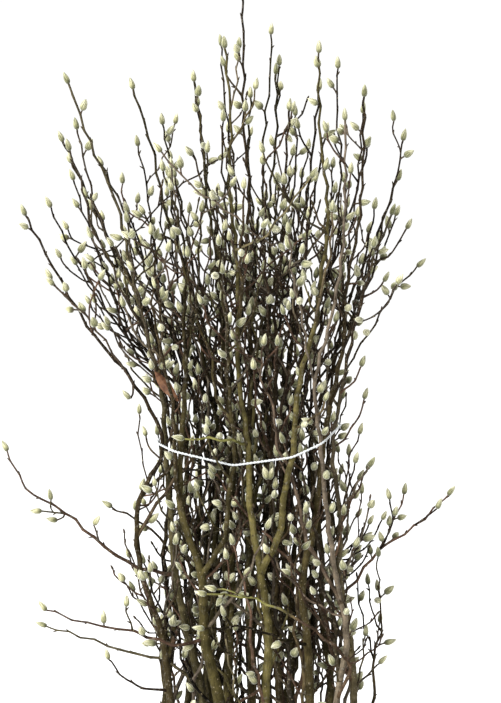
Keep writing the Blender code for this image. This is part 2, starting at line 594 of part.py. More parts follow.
def string_corners(grown):
    """The loop's corners: the convex outline of the stems where the string's plane cuts them.

    They are moved outwards until the string clears each of them.
    """
    room = [p["radii"][:p["wood"]].max() * 0.6 + STRING_RADIUS for p in grown]
    circle = np.arange(0, 2 * math.pi, math.pi / 8)
    for _ in range(5):
        rim = []
        for path, reach in zip(grown, room):
            points = path["points"]
            above = points[:, 2] - string_height(points[:, 0], points[:, 1])
            for i in np.flatnonzero(above[:-1] * above[1:] < 0):
                x, y = (points[i] + (points[i + 1] - points[i]) * above[i] / (above[i] - above[i + 1]))[:2]
                rim += [(x + reach * math.cos(angle), y + reach * math.sin(angle)) for angle in circle]
        corners = np.array([(x, y, string_height(x, y)) for x, y in convex_outline(rim)])
        onward = np.roll(corners, -1, axis=0)
        for k, path in enumerate(grown):
            apart = rod_gaps(path["points"][:-1], path["points"][1:], corners, onward)
            thick = np.maximum(path["radii"][:-1], path["radii"][1:])[:, None] + STRING_RADIUS + STRING_GAP
            room[k] += 1.05 * max(0.0, (thick - apart).max())
    return corners


def knot_and_ends(corners):
    """(points, radii) of the knot and of the string's two ends, at the middle of the longest free span at the
    back of the loop."""
    onward = np.roll(corners, -1, axis=0)
    spans = np.linalg.norm(onward - corners, axis=1) * ((corners + onward)[:, 1] > 0.10)
    a, b = corners[spans.argmax()], onward[spans.argmax()]
    middle, along = (a + b) / 2, unit(b - a)
    out = unit(np.array([-along[1], along[0], 0.0]))
    out = out if out[1] > 0 else -out
    lump = middle + out * 0.0030 + along * np.array([-1, -0.55, 0, 0.55, 1])[:, None] * KNOT_RADIUS
    found = [(lump, KNOT_RADIUS * np.array([0.35, 0.85, 1, 0.85, 0.35]))]
    for side in (-1, 1):
        steps = ((0.004, 0, 0), (0.009, 0.010, -0.004), (0.011, 0.017, -0.017), (0.009, 0.021, -STRING_END))
        line = [middle + out * o + along * side * s + np.array([0, 0, z]) for o, s, z in steps]
        found.append((np.array(line), np.full(4, STRING_RADIUS * 0.95)))
    return found


def leaf_base(grown):
    """Where the dry leaf's stalk meets its twig, beside the bud at the end of the chosen side shoot."""
    path = [p for p in grown if p["branch"] == LEAF_BRANCH and p["kind"] == "shoot"][LEAF_SHOOT]
    neck = path["points"][path["wood"] - 1]
    return neck + unit(np.array(LEAF_HANGS_TO) * (1, 1, 0)) * (TWIG_TIP_RADIUS + LEAF_GAP + 0.0006)


def grow():
    """Every path of every branch, and the string's corners."""
    thicket, grown, draw = Thicket(), [], random.Random(SEED)
    grow_stems(thicket, grown)
    grow_forks(thicket, grown)
    corners = string_corners(grown)
    loop = np.vstack([corners, corners[:1]])
    for points, radii in [(loop, np.full(len(loop), STRING_RADIUS)), *knot_and_ends(corners)]:
        thicket.add(points, radii, -1, -1)
    grow_shoots(thicket, grown)
    leaf = np.array([leaf_base(grown), leaf_base(grown) + LEAF_HANGS_TO])
    thicket.add(leaf, np.full(2, LEAF_HALF_WIDTH + 0.001), -2, -2)
    grow_leaning_twigs(thicket, grown)
    grow_twigs(thicket, grown, draw, TWIGS_A_BRANCH, CLEAR_GAP)
    return grown, corners


def clear_scene():
    for obj in list(bpy.data.objects):
        bpy.data.objects.remove(obj)


def new_collection(name):
    collection = bpy.data.collections.new(name)
    bpy.context.scene.collection.children.link(collection)
    return collection


def principled(name, colour, roughness):
    material = bpy.data.materials.new(name)
    material.use_nodes = True
    shader = material.node_tree.nodes["Principled BSDF"]
    shader.inputs["Base Color"].default_value = (*colour, 1)
    shader.inputs["Roughness"].default_value = roughness
    shader.inputs["Metallic"].default_value = 0
    return material


def tube(name, points, radii, thickest, fineness, ring=False):
    """A closed mesh along the points: a bevelled curve, made into a mesh so that Booleans take it."""
    curve = bpy.data.curves.new(name, "CURVE")
    curve.dimensions = "3D"
    curve.bevel_depth = thickest
    curve.bevel_resolution = fineness
    curve.use_fill_caps = True
    spline = curve.splines.new("POLY")
    spline.points.add(len(points) - 1)
    for point, where, radius in zip(spline.points, points, radii):
        point.co = (*where, 1)
        point.radius = radius / thickest
    spline.use_cyclic_u = ring
    guide = bpy.data.objects.new(name, curve)
    bpy.context.scene.collection.objects.link(guide)
    bpy.context.view_layer.update()
    mesh = bpy.data.meshes.new_from_object(guide.evaluated_get(bpy.context.evaluated_depsgraph_get()))
    bpy.data.objects.remove(guide)
    shape = bmesh.new()
    shape.from_mesh(mesh)
    bmesh.ops.remove_doubles(shape, verts=shape.verts, dist=0.00002)
    bmesh.ops.recalc_face_normals(shape, faces=shape.faces)
    shape.to_mesh(mesh)
    shape.free()
    mesh.name = name
    return bpy.data.objects.new(name, mesh)


def fused(name, pieces, material, collection):
    """One body from overlapping pieces: a union of the first with all the others."""
    body, others = pieces[0], pieces[1:]
    body.name = name
    collection.objects.link(body)
    if others:
        helpers = new_collection(f"{name}_pieces")
        for piece in others:
            helpers.objects.link(piece)
        union = body.modifiers.new("union", "BOOLEAN")
        union.operation = "UNION"
        union.operand_type = "COLLECTION"
        union.collection = helpers
        union.solver = "EXACT"
        bpy.context.view_layer.update()
        mesh = bpy.data.meshes.new_from_object(body.evaluated_get(bpy.context.evaluated_depsgraph_get()))
        body.modifiers.clear()
        body.data = mesh
        for piece in others:
            bpy.data.objects.remove(piece)
        bpy.data.collections.remove(helpers)
    body.data.materials.clear()
    body.data.materials.append(material)
    return body


def path_tube(path, name):
    sides = 1 if path["kind"] == "stem" else 0
    return tube(name, path["points"], path["radii"], path["radii"].max(), sides)


def rest_on(path, stem):
    """Moves a leaning twig's bud along its own line until its tip is just short of the stem's surface."""
    tree = BVHTree.FromPolygons([v.co for v in stem.vertices], [p.vertices for p in stem.polygons])
    root, tip = path["points"][0], path["points"][-1]
    direction = unit(tip - root)
    distance = tree.ray_cast(Vector(root), Vector(direction))[3]
    path["points"][1:] += direction * (distance - LEAN_GAP - np.linalg.norm(tip - root))


def make_branches(grown, collection):
    bark = principled("bark", (0.20, 0.155, 0.085), 0.75)
    stems = {p["branch"]: path_tube(p, "stem") for p in grown if p["kind"] == "stem"}
    for path in grown:
        if path["kind"] == "lean":
            rest_on(path, stems[path["on"]].data)
    for number in range(len(BRANCHES)):
        paths = [p for p in grown if p["branch"] == number and p["kind"] != "stem"]
        pieces = [stems[number]] + [path_tube(p, f"{p['kind']}_{i}") for i, p in enumerate(paths)]
        fused(f"branch_{number + 1:02d}", pieces, bark, collection)


def make_string(corners, collection):
    """The loop, and at its back a knot with two short ends."""
    pieces = [tube("loop", corners, np.full(len(corners), STRING_RADIUS), STRING_RADIUS, 1, ring=True)]
    (lump, lump_radii), *ends = knot_and_ends(corners)
    pieces.append(tube("knot", lump, lump_radii, lump_radii.max(), 1))
    pieces += [tube("end", points, radii, radii.max(), 0) for points, radii in ends]
    fused("string_tie", pieces, principled("white_string", (0.80, 0.79, 0.74), 0.8), collection)


def make_leaf(base, collection):
    """A dry lance-shaped blade, a little folded along its middle and hanging from its stalk."""
    rows, line = 8, unit(np.array(LEAF_HANGS_TO))
    across = unit(np.cross(line, (0.25, 1.0, 0.1)))
    normal = np.cross(across, line)
    length = np.linalg.norm(LEAF_HANGS_TO)
    shape = bmesh.new()
    grid = []
    for i in range(rows):
        t = i / (rows - 1)
        half = 0.0007 + LEAF_HALF_WIDTH * math.sin(math.pi * max(0.0, (t - 0.10) / 0.90) ** 0.85) ** 1.2
        middle = base + line * length * t + normal * 0.006 * math.sin(math.pi * t)
        for face in (0.5, -0.5):
            for side in (-1, 0, 1):
                lift = abs(side) * half * math.sin(LEAF_FOLD)
                where = middle + across * side * half * math.cos(LEAF_FOLD)
                where = where + normal * (lift + face * LEAF_THICKNESS)
                grid.append(shape.verts.new(where))
    for i in range(rows - 1):
        a, b = grid[6 * i:6 * i + 6], grid[6 * i + 6:6 * i + 12]
        for j, k in ((0, 1), (1, 2), (2, 5), (5, 4), (4, 3), (3, 0)):
            shape.faces.new((a[j], a[k], b[k], b[j]))
    for ring in (grid[:6], grid[-6:]):
        shape.faces.new((ring[0], ring[1], ring[4], ring[3]))
        shape.faces.new((ring[1], ring[2], ring[5], ring[4]))
    bmesh.ops.recalc_face_normals(shape, faces=shape.faces)
    mesh = bpy.data.meshes.new("dead_leaf")
    shape.to_mesh(mesh)
    shape.free()
    leaf = bpy.data.objects.new("dead_leaf", mesh)
    leaf.data.materials.append(principled("dry_leaf", (0.30, 0.115, 0.045), 0.65))
    collection.objects.link(leaf)


def main():
    clear_scene()
    collection = new_collection("star_magnolia_bundle")
    grown, corners = grow()
    make_branches(grown, collection)
    make_string(corners, collection)
    make_leaf(leaf_base(grown), collection)
    kinds = ("stem", "fork", "shoot", "lean", "twig")
    counts = {kind: sum(p["kind"] == kind for p in grown) for kind in kinds}
    print(f"{len(BRANCHES)} branches:", counts)


main()
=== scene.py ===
import math
import random

import bpy
import numpy as np
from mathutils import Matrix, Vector


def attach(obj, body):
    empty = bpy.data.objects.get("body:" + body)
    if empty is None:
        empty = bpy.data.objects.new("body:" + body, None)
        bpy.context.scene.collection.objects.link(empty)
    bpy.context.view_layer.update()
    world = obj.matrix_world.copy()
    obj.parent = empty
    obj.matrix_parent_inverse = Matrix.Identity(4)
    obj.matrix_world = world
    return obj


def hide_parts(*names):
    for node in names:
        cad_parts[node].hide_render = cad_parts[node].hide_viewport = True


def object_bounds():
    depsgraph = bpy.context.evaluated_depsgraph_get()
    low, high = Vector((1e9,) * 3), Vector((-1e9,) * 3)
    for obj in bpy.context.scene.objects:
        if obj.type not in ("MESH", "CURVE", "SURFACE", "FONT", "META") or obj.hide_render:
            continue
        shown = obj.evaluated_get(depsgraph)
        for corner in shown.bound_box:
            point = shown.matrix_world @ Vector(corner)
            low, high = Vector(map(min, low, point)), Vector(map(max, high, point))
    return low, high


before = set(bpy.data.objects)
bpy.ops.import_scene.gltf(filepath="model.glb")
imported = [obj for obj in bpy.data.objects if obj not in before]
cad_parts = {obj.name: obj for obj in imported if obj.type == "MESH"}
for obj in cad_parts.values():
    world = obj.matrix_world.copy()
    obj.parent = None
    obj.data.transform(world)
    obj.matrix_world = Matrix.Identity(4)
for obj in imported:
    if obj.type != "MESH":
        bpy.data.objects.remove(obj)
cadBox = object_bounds()

# What a user would change, in metres
goldenAngle = math.radians(137.508)
sheaf = {
    "waist": 0.76,            # how far the tie draws a stem in, as a share of its foot's distance
    "waistHeight": 0.67,
    "sawnLength": 0.020,      # upright length at a sawn end
    "clearGap": 0.0012,       # least space left between two branches
    "leanGap": 0.0003,        # space where a bud leans on its neighbour
    "leanSpans": (0.016, 0.120),   # shortest twig below such a bud, and longest reach of twig and bud
    "leanHighest": 1.15,
    "nudge": (0.006, 0.008),  # steps aside that a shoot may take: sideways and in depth
    "seed": 11,
}
stringTie = {
    "height": 0.6755,
    "riseRight": 0.060,       # rise of the string per metre to the right
    "riseBack": 0.130,
    "bow": 1.90,              # and by how much of the squared distance it rises to both sides,
    "bowReach": 0.132,        # up to this distance
    "radius": 0.0021,
    "gap": 0.0003,
    "endLength": 0.030,
    "knotRadius": 0.0052,
    "strandRadius": 0.00108,
    "strandOffset": 0.00098,  # from the string's middle to a strand's
    "twist": 0.0125,          # length of one turn of the strands
    "strandSides": 7,
    "step": 0.0016,           # between the strands' rings
    "smoothPasses": 24,       # that round the loop's corners off
    "knotRings": 72,
    "knotSize": 0.00156,      # of one unit of the trefoil's formula
    "knotThick": 0.0017,
    "endRings": 16,
    "endRadii": (0.0019, 0.0019, 0.0024),
    "fibres": 6,              # frayed out of each end
    "fibreRadii": (0.0006, 0.0005, 0.0002),
}
stemWood = {
    "tipRadius": 0.0019,
    "taper": 1.55,
    "forkShare": 0.66,        # a fork's radius where it leaves, as a share of its parent's
    "forkMostRadius": 0.0075,
    "twigRadius": 0.0019,
    "twigTipRadius": 0.0015,
    "stemStep": 0.110,
    "shootStep": 0.073,
    "sway": 0.0045,
}
flowerBud = {
    "length": 0.0215,
    "radius": 0.0052,
    "shape": ((0.32, 0.92), (0.62, 0.88), (1.0, 0.07)),
}
sideTwigs = {"each": 4, "lengths": (0.045, 0.130), "lowest": 0.24, "highest": 1.38, "tries": 30}
dryLeaf = {"branch": 3, "shoot": -1, "hangsTo": (0.043, -0.012, -0.054), "halfWidth": 0.0085,
           "stalkRadius": 0.0006, "gap": 0.0004}


branches = [
    {   # front left: a thick trunk that forks knee high into three leaders
        "butt": 0.0158,
        "stem": [(-0.045, -0.125, 0), (-0.056, -0.122, 0.25), (-0.073, -0.118, 0.34),
                 (-0.081, -0.115, 0.425), (-0.092, -0.112, 0.476), (-0.110, -0.106, 0.53),
                 (-0.118, -0.098, 0.60), (-0.119, -0.094, 0.67), (-0.115, -0.096, 0.78),
                 (-0.108, -0.105, 0.90), (-0.112, -0.125, 1.02), (-0.135, -0.140, 1.150)],
        "forks": [[(-0.083, -0.114, 0.440), (-0.065, -0.119, 0.493), (-0.048, -0.121, 0.527),
                   (-0.037, -0.117, 0.578), (-0.030, -0.112, 0.680), (-0.035, -0.120, 0.80),
                   (-0.045, -0.165, 0.95), (-0.052, -0.215, 1.065)],
                  (0.52, (-0.165, -0.175, 1.080)), (0.80, (-0.070, -0.170, 1.215))],
        "shoots": [[(-0.068, -0.119, 0.305), (-0.090, -0.130, 0.326), (-0.155, -0.132, 0.356),
                    (-0.223, -0.130, 0.378), (-0.292, -0.125, 0.386), (-0.344, -0.120, 0.397),
                    (-0.365, -0.118, 0.421)],
                   [(-0.200, -0.131, 0.372), (-0.214, -0.132, 0.400), (-0.212, -0.134, 0.437)]],
    },
    {   # front centre: a straight pale leader, and the pale fork that rises to the right
        "butt": 0.0112, "forkShare": 0.98,
        "stem": [(0.030, -0.120, 0), (0.030, -0.118, 0.25), (0.029, -0.115, 0.34), (0.022, -0.112, 0.425),
                 (0.014, -0.108, 0.493), (0.003, -0.102, 0.578), (-0.005, -0.098, 0.646),
                 (-0.012, -0.096, 0.731), (-0.019, -0.100, 0.86), (-0.025, -0.112, 0.99),
                 (-0.029, -0.120, 1.105), (-0.036, -0.122, 1.24), (-0.044, -0.120, 1.384)],
        "forks": [(0.88, (-0.010, -0.240, 1.160)),
                  [(0.014, -0.108, 0.470), (0.037, -0.112, 0.518), (0.053, -0.114, 0.55),
                   (0.061, -0.113, 0.61), (0.068, -0.111, 0.672), (0.080, -0.111, 0.765),
                   (0.097, -0.116, 0.867), (0.117, -0.124, 0.952), (0.126, -0.132, 1.06),
                   (0.124, -0.138, 1.18), (0.110, -0.142, 1.245), (0.112, -0.148, 1.377)]],
        "shoots": [[(0.110, -0.120, 0.92), (0.125, -0.165, 1.00), (0.135, -0.200, 1.120)],
                   [(0.124, -0.131, 1.045), (0.075, -0.165, 1.10), (0.035, -0.182, 1.155),
                    (0.014, -0.190, 1.215)],
                   [(-0.026, -0.114, 1.015), (0.030, -0.160, 1.065), (0.075, -0.178, 1.118),
                    (0.110, -0.182, 1.172)],
                   [(-0.012, -0.096, 0.715), (-0.059, -0.130, 0.712), (-0.093, -0.138, 0.714),
                    (-0.132, -0.142, 0.722)]],
    },
    {   # front right
        "butt": 0.0112,
        "stem": [(0.112, -0.100, 0), (0.102, -0.100, 0.25), (0.095, -0.097, 0.36), (0.0935, -0.093, 0.43),
                 (0.100, -0.086, 0.49), (0.112, -0.078, 0.58), (0.124, -0.070, 0.66),
                 (0.140, -0.072, 0.765), (0.155, -0.080, 0.867), (0.168, -0.090, 0.97),
                 (0.180, -0.098, 1.07), (0.188, -0.104, 1.20), (0.189, -0.110, 1.304)],
        "forks": [(0.86, (0.262, -0.060, 1.228)), (0.90, (0.146, -0.075, 1.350)),
                  (0.74, (0.205, -0.190, 1.060))],
        "shoots": [[(0.095, -0.097, 0.34), (0.068, -0.135, 0.357), (0.0, -0.146, 0.379),
                    (-0.048, -0.150, 0.377), (-0.100, -0.152, 0.384)]],
    },
    {   # left: leads up into the highest tips on the left
        "butt": 0.0108,
        "stem": [(-0.085, -0.062, 0), (-0.092, -0.063, 0.25), (-0.105, -0.064, 0.34),
                 (-0.122, -0.063, 0.41), (-0.134, -0.061, 0.47), (-0.140, -0.058, 0.53),
                 (-0.143, -0.054, 0.60), (-0.143, -0.050, 0.68), (-0.155, -0.056, 0.765),
                 (-0.172, -0.062, 0.85), (-0.190, -0.068, 0.935), (-0.215, -0.074, 1.05),
                 (-0.250, -0.080, 1.16), (-0.280, -0.082, 1.25), (-0.313, -0.082, 1.323)],
        "forks": [(0.93, (-0.299, -0.045, 1.246)), (0.86, (-0.306, -0.125, 1.215)),
                  (0.74, (-0.205, -0.180, 1.100))],
        "shoots": [[(-0.130, -0.061, 0.43), (-0.192, -0.050, 0.458), (-0.253, -0.046, 0.502),
                    (-0.306, -0.042, 0.546), (-0.370, -0.036, 0.580), (-0.410, -0.032, 0.633),
                    (-0.432, -0.030, 0.686)],
                   [(-0.332, -0.040, 0.556), (-0.358, -0.047, 0.563), (-0.385, -0.050, 0.564)],
                   [(-0.310, -0.041, 0.549), (-0.335, -0.024, 0.541), (-0.360, -0.018, 0.542)],
                   [(-0.366, -0.036, 0.578), (-0.350, -0.050, 0.604)],
                   [(-0.279, -0.044, 0.523), (-0.274, -0.062, 0.540), (-0.261, -0.068, 0.560)],
                   [(-0.099, -0.063, 0.26), (-0.145, -0.052, 0.290), (-0.194, -0.050, 0.304),
                    (-0.273, -0.046, 0.330), (-0.334, -0.052, 0.347), (-0.377, -0.056, 0.366)],
                   [(-0.157, -0.056, 0.765), (-0.162, -0.085, 0.790), (-0.170, -0.122, 0.842)]],
    },
    {   # far left: bows out below the string, then arches out to the widest tip
        "butt": 0.0094,
        "stem": [(-0.132, -0.088, 0), (-0.139, -0.089, 0.22), (-0.148, -0.090, 0.343),
                 (-0.173, -0.090, 0.397), (-0.190, -0.090, 0.451), (-0.201, -0.086, 0.503),
                 (-0.200, -0.084, 0.538), (-0.193, -0.080, 0.573), (-0.176, -0.076, 0.607),
                 (-0.148, -0.070, 0.662), (-0.172, -0.068, 0.728), (-0.209, -0.070, 0.807),
                 (-0.251, -0.072, 0.865), (-0.290, -0.074, 0.912), (-0.343, -0.076, 0.998),
                 (-0.367, -0.078, 1.049), (-0.388, -0.078, 1.102)],
        "forks": [],
        "shoots": [[(-0.290, -0.074, 0.912), (-0.271, -0.084, 0.945), (-0.246, -0.090, 0.992)],
                   [(-0.184, -0.068, 0.75), (-0.201, -0.085, 0.762), (-0.218, -0.095, 0.786)],
                   [(-0.1445, -0.089, 0.21), (-0.192, -0.092, 0.254), (-0.218, -0.095, 0.273),
                    (-0.243, -0.100, 0.301), (-0.253, -0.100, 0.332)],
                   [(-0.235, -0.071, 0.84), (-0.262, -0.082, 0.92), (-0.284, -0.088, 1.013)],
                   [(-0.225, -0.071, 0.83), (-0.275, -0.115, 0.915), (-0.345, -0.130, 0.985)]],
    },
    {   # front right, a slender reddish stem that crosses in front of its neighbour
        "butt": 0.0082,
        "stem": [(0.150, -0.112, 0), (0.155, -0.112, 0.25), (0.1615, -0.114, 0.357), (0.152, -0.115, 0.44),
                 (0.139, -0.115, 0.527), (0.129, -0.112, 0.595), (0.117, -0.108, 0.68),
                 (0.112, -0.112, 0.78), (0.130, -0.122, 0.90), (0.150, -0.130, 1.00), (0.160, -0.140, 1.12),
                 (0.155, -0.150, 1.267)],
        "forks": [(0.82, (0.060, -0.265, 1.090))],
        "shoots": [[(0.160, -0.113, 0.24), (0.173, -0.124, 0.299), (0.137, -0.140, 0.349),
                    (0.085, -0.152, 0.397), (0.043, -0.156, 0.425), (0.0, -0.158, 0.434),
                    (-0.048, -0.155, 0.439), (-0.096, -0.150, 0.446)],
                   [(0.000, -0.158, 0.434), (-0.042, -0.166, 0.450), (-0.078, -0.170, 0.462)]],
    },
    {   # far right
        "butt": 0.0098,
        "stem": [(0.180, -0.042, 0), (0.180, -0.042, 0.25), (0.173, -0.041, 0.34), (0.162, -0.039, 0.425),
                 (0.154, -0.036, 0.527), (0.148, -0.034, 0.62), (0.147, -0.033, 0.70),
                 (0.160, -0.034, 0.79), (0.180, -0.038, 0.90), (0.213, -0.042, 1.00),
                 (0.247, -0.046, 1.100)],
        "forks": [],
        "shoots": [[(0.150, -0.033, 0.74), (0.191, -0.020, 0.852), (0.234, -0.012, 0.920),
                    (0.266, -0.012, 0.969), (0.304, -0.010, 1.001)],
                   [(0.160, -0.036, 0.775), (0.181, -0.054, 0.795), (0.197, -0.060, 0.840)],
                   [(0.150, -0.035, 0.55), (0.170, -0.052, 0.590), (0.195, -0.062, 0.630),
                    (0.215, -0.066, 0.664)],
                   [(0.148, -0.033, 0.60), (0.166, -0.020, 0.635), (0.185, -0.012, 0.670),
                    (0.195, -0.008, 0.713)],
                   [(0.151, -0.036, 0.59), (0.172, -0.062, 0.625), (0.186, -0.072, 0.673)],
                   [(0.180, -0.042, 0.215), (0.198, -0.052, 0.258), (0.213, -0.056, 0.276),
                    (0.240, -0.060, 0.307)],
                   [(0.180, -0.042, 0.18), (0.192, -0.035, 0.270), (0.206, -0.030, 0.354)]],
    },
    {   # right, middle row: carries the long low twigs on the right
        "butt": 0.0098, "foot": (0.145, 0.004), "tip": (0.260, 0.004, 1.155),
        "forks": [(0.78, (0.196, 0.030, 1.270)), (0.76, (0.222, 0.055, 1.030)),
                  (0.28, (0.215, -0.035, 1.110))],
        "shoots": [[(0.134, 0.003, 0.375), (0.168, -0.010, 0.411), (0.203, -0.014, 0.458),
                    (0.255, -0.020, 0.504), (0.333, -0.026, 0.569), (0.358, -0.028, 0.604)],
                   [(0.240, -0.018, 0.491), (0.250, -0.030, 0.545), (0.239, -0.036, 0.602)],
                   [(0.245, -0.019, 0.496), (0.266, 0.000, 0.555), (0.274, 0.008, 0.602)],
                   [(0.298, -0.023, 0.541), (0.320, -0.036, 0.553), (0.334, -0.043, 0.585)],
                   [(0.140, 0.002, 0.50), (0.180, 0.020, 0.560), (0.215, 0.030, 0.640)]],
    },
    {   # second row, left of centre
        "butt": 0.0092, "foot": (-0.040, -0.055), "tip": (-0.097, -0.070, 1.328),
        "forks": [(0.72, (-0.150, -0.110, 1.180)), (0.80, (-0.045, -0.150, 1.265)),
                  (0.26, (-0.062, -0.105, 1.120))],
        "shoots": [],
    },
    {   # left, middle row
        "butt": 0.0096, "foot": (-0.152, 0.010), "tip": (-0.333, 0.020, 1.220),
        "forks": [(0.74, (-0.352, -0.020, 1.110)), (0.84, (-0.318, 0.075, 1.150)),
                  (0.20, (-0.280, -0.035, 1.060))],
        "shoots": [[(-0.128, 0.008, 0.50), (-0.170, 0.004, 0.5185), (-0.221, -0.002, 0.544),
                    (-0.262, -0.006, 0.572)],
                   [(-0.170, 0.012, 0.90), (-0.225, -0.020, 0.960), (-0.2856, -0.030, 1.012)]],
    },
    {   # the middle branch, with the highest tip
        "butt": 0.0108, "foot": (0.0, 0.0), "tip": (-0.014, 0.000, 1.466),
        "forks": [(0.86, (0.036, 0.020, 1.405)), (0.74, (0.075, -0.020, 1.200)),
                  (0.98, (-0.052, 0.030, 1.385))],
        "shoots": [],
    },
    {   # second row, right of centre
        "butt": 0.0090, "foot": (0.050, -0.055), "tip": (0.066, -0.075, 1.280),
        "forks": [(0.74, (0.020, -0.160, 1.195)), (0.78, (0.110, -0.140, 1.165)),
                  (0.22, (0.100, -0.095, 1.100))],
        "shoots": [[(0.062, -0.070, 1.01), (0.020, -0.135, 1.050), (-0.040, -0.160, 1.095),
                    (-0.105, -0.172, 1.150), (-0.160, -0.176, 1.212)]],
    },
    {   # middle row, left of centre
        "butt": 0.0098, "foot": (-0.075, 0.005), "tip": (-0.206, -0.005, 1.312),
        "forks": [(0.86, (-0.155, 0.040, 1.250)), (0.74, (-0.215, -0.060, 1.105)),
                  (0.30, (-0.150, 0.030, 1.100))],
        "shoots": [],
    },
    {   # middle row, right of centre
        "butt": 0.0094, "foot": (0.075, 0.002), "tip": (0.120, 0.020, 1.310),
        "forks": [(0.84, (0.078, 0.050, 1.265)), (0.74, (0.170, -0.010, 1.110)),
                  (0.24, (0.150, 0.055, 1.130))],
        "shoots": [],
    },
    {   # third row, left
        "butt": 0.0088, "foot": (-0.118, 0.064), "tip": (-0.272, 0.130, 1.170),
        "forks": [(0.76, (-0.205, 0.165, 1.205)), (0.73, (-0.325, 0.140, 0.990)),
                  (0.18, (-0.225, 0.085, 1.050))],
        "shoots": [[(-0.100, 0.055, 0.44), (-0.150, 0.105, 0.480), (-0.205, 0.170, 0.540)]],
    },
    {   # third row, left of centre
        "butt": 0.0094, "foot": (-0.040, 0.058), "tip": (-0.095, 0.105, 1.280),
        "forks": [(0.80, (-0.140, 0.150, 1.150)), (0.24, (-0.045, 0.150, 1.080))],
        "shoots": [],
    },
    {   # third row, right of centre
        "butt": 0.0092, "foot": (0.036, 0.058), "tip": (0.045, 0.095, 1.335),
        "forks": [(0.80, (0.105, 0.140, 1.200)), (0.28, (0.075, 0.150, 1.110))],
        "shoots": [],
    },
    {   # third row, right
        "butt": 0.0090, "foot": (0.112, 0.064), "tip": (0.212, 0.120, 1.205),
        "forks": [(0.76, (0.268, 0.150, 1.080)), (0.82, (0.150, 0.180, 1.165)),
                  (0.20, (0.230, 0.080, 1.040))],
        "shoots": [[(0.098, 0.056, 0.40), (0.150, 0.100, 0.450), (0.205, 0.160, 0.520)]],
    },
    {   # back row, left
        "butt": 0.0090, "foot": (-0.078, 0.120), "tip": (-0.150, 0.235, 1.175),
        "forks": [(0.75, (-0.060, 0.275, 1.110)), (0.76, (-0.215, 0.235, 1.010))],
        "shoots": [[(-0.066, 0.104, 0.36), (-0.100, 0.160, 0.390), (-0.135, 0.225, 0.450)]],
    },
    {   # back row, centre
        "butt": 0.0096, "foot": (0.0, 0.125), "tip": (0.000, 0.195, 1.290),
        "forks": [(0.76, (0.052, 0.265, 1.130)), (0.84, (-0.045, 0.220, 1.180))],
        "shoots": [[(0.0, 0.105, 0.50), (0.030, 0.160, 0.530), (0.035, 0.235, 0.590)]],
    },
    {   # back row, right
        "butt": 0.0090, "foot": (0.078, 0.120), "tip": (0.140, 0.220, 1.225),
        "forks": [(0.76, (0.205, 0.240, 1.060)), (0.82, (0.095, 0.265, 1.140))],
        "shoots": [[(0.070, 0.110, 0.30), (0.110, 0.160, 0.330), (0.160, 0.215, 0.400)]],
    },
]


def unit(vector):
    # The vector over its length.
    return vector / np.linalg.norm(vector)


def distances(line):
    # How far along the line each of its points lies from its start.
    return np.append(0, np.cumsum(np.linalg.norm(np.diff(line, axis=0), axis=1)))


def placesAt(wanted, along, line):
    # The places at the wanted distances on a line whose own points lie at the distances along.
    return np.stack([np.interp(wanted, along, line[:, c]) for c in range(3)], axis=1)


def flowing(points, count):
    # count points, evenly spaced, on a smooth curve through the given ones: between each two it is a cubic,
    # whose slope at a point is half the step from the point before it to the one after it.
    points = np.array(points, float)
    padded = np.vstack([2 * points[0] - points[1], points, 2 * points[-1] - points[-2]])
    fine = []
    for a, b, c, d in zip(padded, padded[1:], padded[2:], padded[3:]):
        for t in np.arange(12) / 12:
            fine.append(0.5 * (2 * b + (c - a) * t + (2 * a - 5 * b + 4 * c - d) * t**2
                               + (3 * b - a - 3 * c + d) * t**3))
    fine = np.array(fine + [points[-1]])
    along = distances(fine)
    return placesAt(np.linspace(0, along[-1], count), along, fine)


def lengthOf(points):
    # The sum of the distances from each point to the next.
    return np.linalg.norm(np.diff(np.array(points, float), axis=0), axis=1).sum()


def sideOf(direction, angle):
    # A unit vector square to direction, turned by angle round it.
    across = unit(np.cross(direction, (0.31, 0.95, 0.05)))
    other = np.cross(direction, across)
    return across * math.cos(angle) + other * math.sin(angle)


def jointed(points, sway, turn):
    # The path with each inner point stepped aside, to a new side each time, as twigs bend at joints.
    bent = points.copy()
    for i in range(1, len(points) - 1):
        direction = unit(points[i + 1] - points[i - 1])
        bent[i] += sideOf(direction, turn + goldenAngle * i) * sway
    return bent


def withBud(points, radii, direction, length=flowerBud["length"], radius=flowerBud["radius"]):
    # The path carried on into a bud: it swells and closes to a point.
    neck = points[-1]
    for along, share in flowerBud["shape"]:
        points = np.vstack([points, neck + unit(direction) * length * along])
        radii = np.append(radii, radius * share)
    return points, radii


def rodGaps(a, b, c, d):
    # Shortest distances between the rods from a to b and those from c to d, for each pair. s and t are the
    # shares along the two rods, held between 0 and 1, at which the line from one to the other is square to
    # both.
    u, v, w = (b - a)[:, None], (d - c)[None], a[:, None] - c[None]
    uu, uv, vv = (u * u).sum(-1), (u * v).sum(-1), (v * v).sum(-1)
    uw, vw = (u * w).sum(-1), (v * w).sum(-1)
    square = np.maximum(uu * vv - uv * uv, 1e-18)
    s = np.clip((uv * vw - vv * uw) / square, 0, 1)
    t = np.clip((uv * s + vw) / vv, 0, 1)
    s = np.clip((uv * t - uw) / uu, 0, 1)
    return np.linalg.norm(w + s[..., None] * u - t[..., None] * v, axis=-1)


